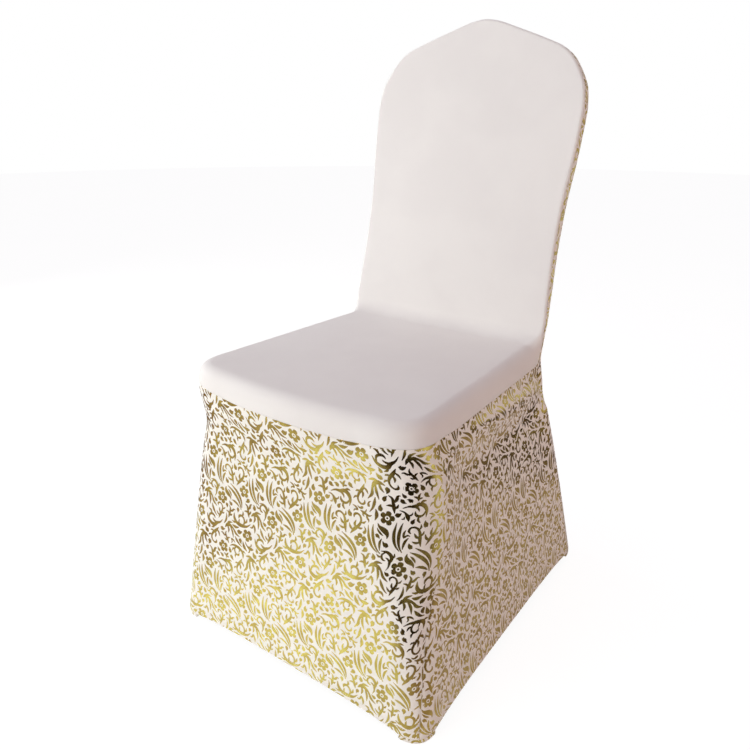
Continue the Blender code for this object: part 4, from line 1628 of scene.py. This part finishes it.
@dataclass(frozen=True)
class FoilPrint:
    """The all-over print: a repeat of small figures laid on a cloth's flat cut.

    Cloths whose cut is longer than tall get their print in two pieces."""

    layout: PrintLayout
    ribbons: list[Ribbon]
    section: tuple[tuple[int, float], ...] = ((0, 0.00002), (1, 0.00020), (2, 0.00002),
                                              (1, -0.00006))
    near: float = 0.0004
    bend: float = 0.86
    tall: float = 0.6
    far: float = 9.0

    def shares(self, cloth: Cloth) -> list[tuple[str, float, float]]:
        """Stretches down the cut that the print of a cloth is made in.

        Args:
            cloth: The cloth.

        Returns:
            A part of the piece's name, and from where to where it goes.
        """
        down = np.array(cloth.cut)[:, 1]
        if down.max() - down.min() < self.tall:
            return [("", -self.far, self.far)]
        return [("_upper", -self.far, 0.0), ("_lower", 0.0, self.far)]

    def lay_on(self, cloth: Cloth, name: str, offset: Pair, top: float, end: float) -> Object:
        """Lay the print on a cloth, cut off at its seams.

        Args:
            cloth: The sewn cloth.
            name: Name of the new piece.
            offset: Shift of the repeat on the flat cut, in metres.
            top: Where on the cut the piece starts.
            end: Where on the cut it ends.

        Returns:
            The new object, a set of thin closed ribbons.
        """
        cut = np.array(cloth.cut)
        flat = [(x, y, 0.0) for x, y in cut.tolist()]
        tree = BVHTree.FromPolygons(flat, cloth.faces)
        fans = [Fan(cut[face], cloth.outer[face], cloth.normals[face]) for face in cloth.faces]
        low, high = cut.min(0), cut.max(0)
        points: list[Array] = []
        normals: list[Array] = []
        cuts: list[Array] = []
        faces: list[list[int]] = []
        tile = np.array([self.layout.width, self.layout.height]) * MM
        first = np.floor((low - offset) / tile).astype(int) - 1
        last = np.ceil((high - offset) / tile).astype(int) + 1
        for i in range(first[0], last[0] + 1):
            for j in range(first[1], last[1] + 1):
                shift = np.array([i, j]) * tile + offset
                for rows, closed in self.ribbons:
                    rows = rows * MM + shift
                    if (rows.max((0, 1)) < low).any() or (rows.min((0, 1)) > high).any():
                        continue
                    if not top <= rows[:, 1, 1].mean() < end:
                        continue
                    self.lay_ribbon(rows, closed, tree, fans, points, normals, cuts, faces)
        piece = closed_mesh(name, np.array(points), faces, set(), np.array(cuts))
        piece.data.normals_split_custom_set_from_vertices([tuple(n) for n in normals])
        return piece

    def lay_ribbon(self, rows: Array, closed: bool, tree: BVHTree, fans: list["Fan"],
                   points: list, normals: list, cuts: list, faces: list) -> None:
        """Lay one ribbon on the cloth and add its closed mesh.

        Args:
            rows: Cross sections on the flat cut.
            closed: Whether the ribbon closes on itself.
            tree: Search tree of the flat cut.
            fans: Interpolators of the cloth's faces.
            points: Points so far, added to.
            normals: Normals so far, added to.
            cuts: Flat places so far, added to.
            faces: Faces so far, added to.
        """
        spots = []
        inside = np.zeros(len(rows), bool)
        for k, section in enumerate(rows):
            hits = []
            for spot in section:
                near, _, face, away = tree.find_nearest((spot[0], spot[1], 0.0))
                hits.append((near.x, near.y, face))
                if away < self.near:
                    inside[k] = True
            spots.append(hits)
        for run in self.runs(inside, closed):
            whole = closed and len(run) == len(rows)
            base = len(points)
            for k in run:
                for place, height in self.section:
                    x, y, face = spots[k][place]
                    point, normal = fans[face].at(x, y)
                    points.append(point + normal * height)
                    normals.append(normal)
                    cuts.append(np.array([x, y]))
            count = len(run)
            self.level(points, normals, base)
            for k in range(count if whole else count - 1):
                a = base + 4 * k
                b = base + 4 * ((k + 1) % count)
                faces.extend([[a + i, a + (i + 1) % 4, b + (i + 1) % 4, b + i] for i in range(4)])
            if not whole:
                end = base + 4 * (count - 1)
                faces.extend([[base, base + 3, base + 2, base + 1],
                              [end, end + 1, end + 2, end + 3]])

    def level(self, points: list, normals: list, base: int) -> None:
        """Turn the newest points' normals to the ribbon's own where a sharp bend parts them.

        Args:
            points: Points so far.
            normals: Their normals, changed from base on.
            base: Index of the ribbon's first point.
        """
        rows = np.array(points[base:]).reshape(-1, 4, 3)
        given = np.array(normals[base:]).reshape(-1, 4, 3)
        own = np.cross(np.gradient(rows[:, 1], axis=0), rows[:, 2] - rows[:, 0])
        own *= np.sign((own * given[:, 1]).sum(1, keepdims=True))
        own /= np.maximum(np.linalg.norm(own, axis=1, keepdims=True), 1e-12)
        agree = (given * own[:, None]).sum(2, keepdims=True)
        normals[base:] = list(np.where(agree < self.bend, own[:, None], given).reshape(-1, 3))

    @staticmethod
    def runs(inside: Array, closed: bool) -> list[list[int]]:
        """Stretches of sections to keep, each with one section more at a cut end.

        Args:
            inside: Which sections touch the cloth.
            closed: Whether the ribbon closes on itself.

        Returns:
            Lists of section numbers.
        """
        count = len(inside)
        if inside.all():
            return [list(range(count))]
        if not inside.any():
            return []
        order = list(range(count))
        if closed:
            start = int(np.argmin(inside))
            order = [(start + k) % count for k in range(count + 1)]
        found: list[list[int]] = []
        stretch: list[int] = []
        for place, k in enumerate(order):
            if inside[k]:
                if not stretch and place > 0:
                    stretch.append(order[place - 1])
                stretch.append(k)
            elif stretch:
                found.append(stretch + [k])
                stretch = []
        if stretch:
            found.append(stretch)
        return [run for run in found if len(run) > 2]


class Fan:
    """Interpolates over one face of a cloth from its flat cut."""

    def __init__(self, cut: Array, points: Array, normals: Array) -> None:
        """Split the face into triangles and keep their inverse maps.

        Args:
            cut: Places of its corners on the flat cut.
            points: Its corners.
            normals: Normals at its corners.
        """
        self.parts = []
        for a, b, c in ([(0, 1, 2)] if len(cut) == 3 else [(0, 1, 2), (0, 2, 3)]):
            edge = np.stack([cut[b] - cut[a], cut[c] - cut[a]], 1)
            size = np.linalg.det(edge)
            if abs(size) > 1e-14:
                self.parts.append((np.linalg.inv(edge), cut[a], points[[a, b, c]],
                                   normals[[a, b, c]]))
        self.spare = (points[0], normals[0])

    def at(self, x: float, y: float) -> tuple[Array, Array]:
        """Point and normal of the cloth over a place of the flat cut.

        Args:
            x: Place across the cut.
            y: Place down the cut.

        Returns:
            The point and the unit normal.
        """
        best = None
        for inverse, origin, points, normals in self.parts:
            u, v = inverse @ (np.array([x, y]) - origin)
            weights = np.array([1.0 - u - v, u, v])
            worst = weights.min()
            if best is None or worst > best[0]:
                best = (worst, weights, points, normals)
        if best is None:
            return self.spare
        weights = np.clip(best[1], 0.0, None)
        weights /= weights.sum()
        normal = weights @ best[3]
        return weights @ best[2], normal / np.linalg.norm(normal)


# The cover's cloths


@dataclass
class Dressing:
    """What every cloth needs to be finished."""

    tailor: Tailor
    print_: FoilPrint
    knit: Material
    printed: Material
    foil: Material
    thread: Material


def finish_piece(piece: Object, material: Material,
                 stands_for: str | None = None) -> Object:
    """Give a piece its finish and say what carries it.

    Args:
        piece: The new piece.
        material: Its finish.
        stands_for: Node that it replaces.

    Returns:
        The piece.
    """
    piece.data.materials.clear()
    piece.data.materials.append(material)
    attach(piece, BODY)
    if stands_for:
        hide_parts(stands_for)
    LOG.info("%s: %d faces", piece.name, len(piece.data.polygons))
    return piece


@dataclass
class PlainPanel:
    """One plain cloth over the seat and the front of the back."""

    form: CoverForm
    stretch: float = 1.10

    def gather(self) -> tuple[Cloth, Array]:
        """Gather the panel's outer surface.

        Returns:
            The cloth and its seam loop.
        """
        grid, cut, border, border_cut = self.form.plain_surface()
        cloth = Cloth("seat_and_front_back")
        cloth.add(Patch(grid, cut))
        ring = np.concatenate([border, border[:, :1]], axis=1)
        ring_cut = np.concatenate([border_cut, border_cut[:, :1]], axis=1)
        cloth.add(Patch(ring, ring_cut, rows_first=True))
        return cloth, border[-1]

    def dress(self, cloth: Cloth, dressing: Dressing) -> Object:
        """Args:
            cloth: The panel's cloth.
            dressing: Finishes and tools.

        Returns:
            The panel's object.
        """
        piece = dressing.tailor.sew(cloth, hemmed=False)
        piece.name = "plain_panel"
        finish_piece(piece, dressing.knit, cloth.name)
        return piece


@dataclass
class SkirtRing:
    """Rows of all the skirts and of the back panel below the waist, and where its seams are."""

    form: CoverForm
    rows: Array
    seams: tuple[int, int, int, int]

    @classmethod
    def drawn(cls, form: CoverForm, seam: Array, path: Array, rear: Array) -> "SkirtRing":
        """Draw the rows from the seam loop, the back's border and its rear grid.

        Args:
            form: The covered form.
            seam: Seam loop of the plain panel.
            path: Border of the back panel.
            rear: Rear grid of the back panel.

        Returns:
            The ring of rows.
        """
        n = form.counts
        count = len(seam)
        ridge = n.columns + n.corner_steps
        front = np.concatenate([seam[count - n.corner_steps:], seam[:ridge]])
        right = seam[ridge:n.waist]
        behind = np.concatenate([path[0][:-1], rear[0][::-1], path[-1][::-1][1:-1]])
        left = seam[count - (n.waist - n.columns):count - n.corner_steps]
        rows = form.skirt_rows(np.concatenate([front, right, behind, left]),
                               MAIN_CREASES + FINE_CREASES)
        a = len(front)
        b = a + len(right)
        return cls(form, rows, (0, a, b, b + len(behind)))

    def span(self, first: int, last: int) -> Patch:
        """Patch between two stations, laid out on its flat cut.

        Args:
            first: Station where it starts.
            last: Station where it ends.

        Returns:
            The patch, its cut measured from its middle and from the seam.
        """
        closed = np.concatenate([self.rows, self.rows[:, :1]], axis=1)
        rows = closed[:, first:last + 1]
        across = row_run(rows)
        across -= 0.5 * across[:, -1:]
        down = row_run(rows.transpose(1, 0, 2)).T
        return Patch(rows, np.stack([across, down], 2), rows_first=True)


@dataclass
class PrintedCloth:
    """A printed cloth with its foil and its hem thread."""

    cloth: Cloth
    flat: Pair
    offset: Pair
    rests_on: tuple[str, ...]
    hemmed: bool = True
    stretch: float = 1.10

    def dress(self, dressing: Dressing) -> Object:
        """Args:
            dressing: Finishes and tools.

        Returns:
            The cloth's object.
        """
        node = self.cloth.name
        piece = dressing.tailor.sew(self.cloth, hemmed=self.hemmed)
        piece.name = f"{node}_cloth"
        finish_piece(piece, dressing.printed, node)
        for part, low, high in dressing.print_.shares(self.cloth):
            foil = dressing.print_.lay_on(self.cloth, f"{node}_foil{part}", self.offset, low, high)
            finish_piece(foil, dressing.foil)
        if self.hemmed:
            thread = HemThread().sew_on(self.cloth, f"{node}_hem_thread")
            finish_piece(thread, dressing.thread)
        return piece


@dataclass(frozen=True)
class HemThread:
    """Stitches that hold the turned hem. Lifts and widths are shares of the radius."""

    above: float = 0.0205
    stitch: float = 0.0027
    pitch: float = 0.0038
    radius: float = 0.00026
    sides: int = 6
    lifts: tuple[float, ...] = (-0.9, 0.35, 0.6, 0.35, -0.9)
    widths: tuple[float, ...] = (0.7, 1.0, 1.05, 1.0, 0.7)

    def sew_on(self, cloth: Cloth, name: str) -> Object:
        """Sew the row along the hem of a cloth.

        Args:
            cloth: The sewn cloth.
            name: Name of the new piece.

        Returns:
            The new object.
        """
        line, normals = self.line(cloth)
        run = run_of(line)
        points: list[Array] = []
        faces: list[list[int]] = []
        start = 0.5 * self.pitch
        while start + self.stitch < run[-1]:
            self.add_stitch(line, normals, run, start, points, faces)
            start += self.pitch
        return closed_mesh(name, np.array(points), faces, set(), np.zeros((len(points), 2)))

    def line(self, cloth: Cloth) -> tuple[Array, Array]:
        """Where the stitches run.

        Args:
            cloth: The sewn cloth.

        Returns:
            Points on the cloth a little above the hem, in order, and its normals there.
        """
        outer = cloth.outer
        crossings = {}
        for face in cloth.faces:
            for a, b in zip(face, face[1:] + face[:1]):
                key = (min(a, b), max(a, b))
                za, zb = outer[key[0], 2], outer[key[1], 2]
                if (za - self.above) * (zb - self.above) < 0.0 and key not in crossings:
                    t = (self.above - za) / (zb - za)
                    point = outer[key[0]] * (1 - t) + outer[key[1]] * t
                    normal = cloth.normals[key[0]] * (1 - t) + cloth.normals[key[1]] * t
                    cut = cloth.cut[key[0]][0] * (1 - t) + cloth.cut[key[1]][0] * t
                    crossings[key] = (cut, point, normal)
        rows = sorted(crossings.values(), key=lambda row: row[0])
        return np.array([r[1] for r in rows]), np.array([r[2] for r in rows])

    def add_stitch(self, line: Array, normals: Array, run: Array, start: float,
                   points: list, faces: list) -> None:
        """Add one stitch: a short thread that dips into the cloth at both ends.

        Args:
            line: Points of the row.
            normals: The cloth's normals there.
            run: Distances along the row.
            start: Where the stitch starts.
            points: Points so far, added to.
            faces: Faces so far, added to.
        """
        steps = len(self.lifts) - 1
        at = start + self.stitch * np.linspace(0.0, 1.0, steps + 1)
        path = np.stack([np.interp(at, run, line[:, k]) for k in range(3)], 1)
        out = np.stack([np.interp(at, run, normals[:, k]) for k in range(3)], 1)
        out /= np.linalg.norm(out, axis=1)[:, None]
        way = path[-1] - path[0]
        way /= np.linalg.norm(way)
        base = len(points)
        for p, n, lift, size in zip(path, out, self.lifts, self.widths):
            side = np.cross(way, n)
            for k in range(self.sides):
                turn = 2.0 * math.pi * k / self.sides
                ring = (n * math.cos(turn) + side * math.sin(turn)) * self.radius * size
                points.append(p + n * lift * self.radius + ring)
        for j in range(steps):
            for k in range(self.sides):
                a = base + j * self.sides + k
                b = base + j * self.sides + (k + 1) % self.sides
                faces.append([a, b, b + self.sides, a + self.sides])
        faces.append([base + k for k in range(self.sides)][::-1])
        faces.append([base + steps * self.sides + k for k in range(self.sides)])


@dataclass
class FootPocket:
    """A shallow cup of printed cloth turned under one foot."""

    foot: Foot
    ring: SkirtRing
    edge_steps: int = 5
    inner_steps: int = 6
    floor_shares: tuple[float, ...] = (0.8, 0.6, 0.4, 0.2, 0.0)

    def rim(self) -> Array:
        """Stretch of the hem that the pocket hangs from.

        Returns:
            Its points in order.
        """
        n = self.ring.form.counts
        start, a, b, c = self.ring.seams
        turn = 2 * n.corner_steps
        wall = n.wall_rows + n.rear_edge_rows
        step = n.side_foot_steps
        first, last = {Foot.FRONT_RIGHT: (a - turn, a + step),
                       Foot.REAR_RIGHT: (b - step, b + wall),
                       Foot.REAR_LEFT: (c - wall, c + step),
                       Foot.FRONT_LEFT: (start - step, start + turn)}[self.foot]
        hem = self.ring.rows[-1]
        return np.array([hem[k % len(hem)] for k in range(first, last + 1)])

    def gather(self) -> Cloth:
        """Gather the pocket's outer surface: wall, rounded edge and floor.

        Returns:
            The pocket's cloth.
        """
        z = self.ring.form.sizes
        rim = self.rim()
        middle = rim.mean(axis=0)
        foot_x = z.front_foot_x if middle[1] < 0 else z.rear_foot_x
        tip = np.array([math.copysign(foot_x, middle[0]), math.copysign(z.foot_y, middle[1]), 0.0])
        inside = rim[0] + rim[-1] - tip
        inside[2] = z.pocket_height
        share = np.linspace(0.0, 1.0, self.inner_steps + 1)[:, None]
        inner = np.concatenate([(rim[-1] + (inside - rim[-1]) * share)[1:],
                                (inside + (rim[0] - inside) * share)[1:-1]])
        loop = np.concatenate([rim, inner])
        centre = loop.mean(axis=0)
        away = loop - centre
        away[:, 2] = 0.0
        size = np.linalg.norm(away, axis=1)[:, None]
        low = z.pocket_edge / z.pocket_height
        rows = [(1.0, 0.0), (0.5 * (1.0 + low), 0.0), (low, 0.0)]
        for k in range(1, self.edge_steps + 1):
            turn = 0.5 * math.pi * k / self.edge_steps
            rows.append((low * (1.0 - math.sin(turn)), z.pocket_edge * (1.0 - math.cos(turn))))
        rings = []
        for height, inset in rows:
            ring = centre + away * (size - inset) / size
            ring[:, 2] = loop[:, 2] * height
            rings.append(ring)
        floor = centre.copy()
        floor[2] = 0.0
        bottom = rings[-1]
        rings += [floor + (bottom - floor) * s for s in self.floor_shares]
        rings = np.concatenate([rings, np.array(rings)[:, :1]], axis=1)
        run = row_run(rings.transpose(1, 0, 2)).T
        way = np.concatenate([away, away[:1]])[:, :2] / np.concatenate([size, size[:1]])
        cut = way[None] * (run[-1:, :, None] - run[:, :, None])
        cloth = Cloth(self.foot.value)
        cloth.add(Patch(rings, cut, rows_first=True))
        return cloth


# Studio


@dataclass(frozen=True)
class Softbox:
    """A soft rectangular light aimed at a point."""

    name: str
    place: Triple
    aim: Triple
    size: Pair
    power: float
    colour: Triple = (1.0, 1.0, 1.0)

    def build(self) -> None:
        """Hang the light."""
        data = bpy.data.lights.new(self.name, "AREA")
        data.shape = "RECTANGLE"
        data.size, data.size_y = self.size
        data.energy = self.power
        data.color = self.colour
        lamp = bpy.data.objects.new(self.name, data)
        lamp.location = self.place
        way = Vector(self.aim) - Vector(self.place)
        lamp.rotation_euler = way.to_track_quat("-Z", "Y").to_euler()
        bpy.context.scene.collection.objects.link(lamp)


@dataclass(frozen=True)
class Studio:
    """Floor, surrounding light, soft lights and the camera."""

    floor_reach: float = 9.0
    floor_level: float = -0.0005
    floor_steps: int = 96
    air: Triple = (0.405, 0.385, 0.45)
    right_air: Triple = (0.30, 0.218, 0.19)
    right_span: Pair = (0.1, 0.7)
    mirrored_air: Triple = (0.42, 0.39, 0.38)
    camera_place: Triple = (0.5980, -0.8746, 0.7971)
    camera_right: Triple = (0.806521, 0.591203, 0.001756)
    camera_up: Triple = (-0.212888, 0.287650, 0.933775)
    focal_pixels: float = 708.27
    frame_pixels: float = 750.0
    sensor: float = 36.0
    near_clip: float = 0.02
    lights: tuple[Softbox, ...] = (
        Softbox("front_light", (-0.8, -2.4, 0.95), (0.0, -0.1, 0.40), (1.1, 1.1), 27.5,
                (1.0, 0.985, 0.89)),
        Softbox("left_light", (-2.4, -0.4, 0.9), (0.0, 0.0, 0.4), (1.5, 1.5), 29.0,
                (1.0, 1.0, 0.96)),
        Softbox("near_light", (1.3, -2.1, 1.3), (0.0, 0.0, 0.3), (1.2, 1.2), 1.5,
                (1.0, 0.98, 1.0)),
        Softbox("top_light", (-0.2, 0.3, 2.6), (0.0, 0.1, 0.4), (1.8, 1.8), 5.0,
                (1.0, 0.96, 1.03)),
        Softbox("right_light", (2.1, 0.2, 0.9), (0.0, 0.0, 0.3), (1.4, 1.4), 8.8,
                (1.0, 0.68, 0.49)))

    def build(self) -> None:
        """Set up the studio."""
        self.lay_floor()
        self.light_world()
        for light in self.lights:
            light.build()
        self.place_camera()

    def lay_floor(self) -> None:
        """Lay a wide round floor just under the pockets."""
        steps, level = self.floor_steps, self.floor_level
        turn = 2.0 * math.pi * np.arange(steps) / steps
        points = [(0.0, 0.0, level)]
        for reach in (1.0, 3.0, self.floor_reach):
            points += [(reach * math.cos(t), reach * math.sin(t), level) for t in turn]
        faces = [[0, 1 + k, 1 + (k + 1) % steps] for k in range(steps)]
        for j in range(2):
            a = 1 + j * steps
            faces += [[a + k, a + steps + k, a + steps + (k + 1) % steps, a + (k + 1) % steps]
                      for k in range(steps)]
        floor = closed_mesh("floor", np.array(points), faces, set(), np.zeros((len(points), 2)))
        floor.data.materials.append(FloorFinish().build())

    def light_world(self) -> None:
        """Surround the scene with a pale even light before a white backdrop."""
        world = bpy.data.worlds.new("studio_air")
        world.use_nodes = True
        tree = world.node_tree
        rays = tree.nodes.new("ShaderNodeLightPath")
        way = tree.nodes.new("ShaderNodeSeparateXYZ")
        tree.links.new(tree.nodes.new("ShaderNodeTexCoord").outputs["Generated"], way.inputs[0])
        to_right = tree.nodes.new("ShaderNodeMapRange")
        to_right.inputs["From Min"].default_value = self.right_span[0]
        to_right.inputs["From Max"].default_value = self.right_span[1]
        tree.links.new(way.outputs["X"], to_right.inputs["Value"])
        layers = [tree.nodes["Background"]]
        layers += [tree.nodes.new("ShaderNodeBackground") for _ in range(3)]
        for layer, colour in zip(layers, (self.air, self.right_air, self.mirrored_air,
                                          (1.0, 1.0, 1.0))):
            layer.inputs["Color"].default_value = (*colour, 1.0)
        shader = layers[0].outputs[0]
        shares = (to_right.outputs["Result"], rays.outputs["Is Glossy Ray"],
                  rays.outputs["Is Camera Ray"])
        for layer, share in zip(layers[1:], shares):
            mix = tree.nodes.new("ShaderNodeMixShader")
            tree.links.new(share, mix.inputs[0])
            tree.links.new(shader, mix.inputs[1])
            tree.links.new(layer.outputs[0], mix.inputs[2])
            shader = mix.outputs[0]
        tree.links.new(shader, tree.nodes["World Output"].inputs["Surface"])
        scene = bpy.context.scene
        scene.world = world
        scene.view_settings.view_transform = "Standard"
        scene.view_settings.look = "None"

    def place_camera(self) -> None:
        """Put the camera where the picture was taken from."""
        data = bpy.data.cameras.new("camera")
        data.sensor_width = self.sensor
        data.lens = self.focal_pixels / self.frame_pixels * data.sensor_width
        data.clip_start = self.near_clip
        camera = bpy.data.objects.new("camera", data)
        right, up = Vector(self.camera_right), Vector(self.camera_up)
        turn = Matrix((right, up, right.cross(up))).transposed().to_4x4()
        camera.matrix_world = Matrix.Translation(self.camera_place) @ turn
        bpy.context.scene.collection.objects.link(camera)
        bpy.context.scene.camera = camera


# Making


@dataclass
class ChairCover:
    """The whole cover: gathers its cloths and dresses them in order."""

    sizes: CoverSizes = field(default_factory=CoverSizes)
    counts: MeshCounts = field(default_factory=MeshCounts)

    def build(self) -> None:
        """Gather the cloths, share their normals, and dress them."""
        form = CoverForm(self.sizes, self.counts)
        white_knit = KnitFinish("white_knit", pale=(0.888, 0.862, 0.810),
                                dull=(0.870, 0.842, 0.794))
        layout = PrintLayout()
        foil_print = FoilPrint(layout, layout.ribbons())
        LOG.info("print: %d ribbons in a repeat", len(foil_print.ribbons))
        dressing = Dressing(Tailor(self.sizes), foil_print, KnitFinish().build(),
                            white_knit.build(), FoilFinish().build(), ThreadFinish().build())
        plain = PlainPanel(form)
        panel, seam = plain.gather()
        path, path_cut, grid, grid_cut = form.back_surface(seam)
        ring = SkirtRing.drawn(form, seam, path, grid)
        start, a, b, c = ring.seams
        back = Cloth("back_panel")
        back.add(Patch(path, path_cut))
        back.add(Patch(grid, grid_cut, rows_first=True))
        back.add(ring.span(b, c))
        skirts = {}
        for side, first, last in ((Side.FRONT, start, a), (Side.RIGHT, a, b),
                                  (Side.LEFT, c, len(ring.rows[0]))):
            skirts[side] = Cloth(side.value)
            skirts[side].add(ring.span(first, last))
        share_normals([panel, back, *skirts.values()], self.sizes)
        plain.dress(panel, dressing)
        printed = [
            PrintedCloth(back, (0.47, 0.93), (0.013, 0.031), ("seat_and_front_back",)),
            PrintedCloth(skirts[Side.FRONT], (0.45, 0.42), (0.0, 0.0), ("back_panel",)),
            PrintedCloth(skirts[Side.RIGHT], (0.46, 0.42), (0.021, 0.07), ("back_panel",)),
            PrintedCloth(skirts[Side.LEFT], (0.46, 0.42), (-0.017, 0.11), ("back_panel",))]
        for foot in Foot:
            cup = FootPocket(foot, ring).gather()
            share_normals([cup], self.sizes)
            printed.append(PrintedCloth(cup, (0.07, 0.07), (0.0, 0.0), ("floor",), hemmed=False))
        for cloth in printed:
            cloth.dress(dressing)


def main() -> None:
    """Build the cover and the studio."""
    logging.basicConfig(level=logging.INFO, format="%(name)s: %(message)s")
    ChairCover().build()
    Studio().build()


if __name__ == "__main__":
    main()
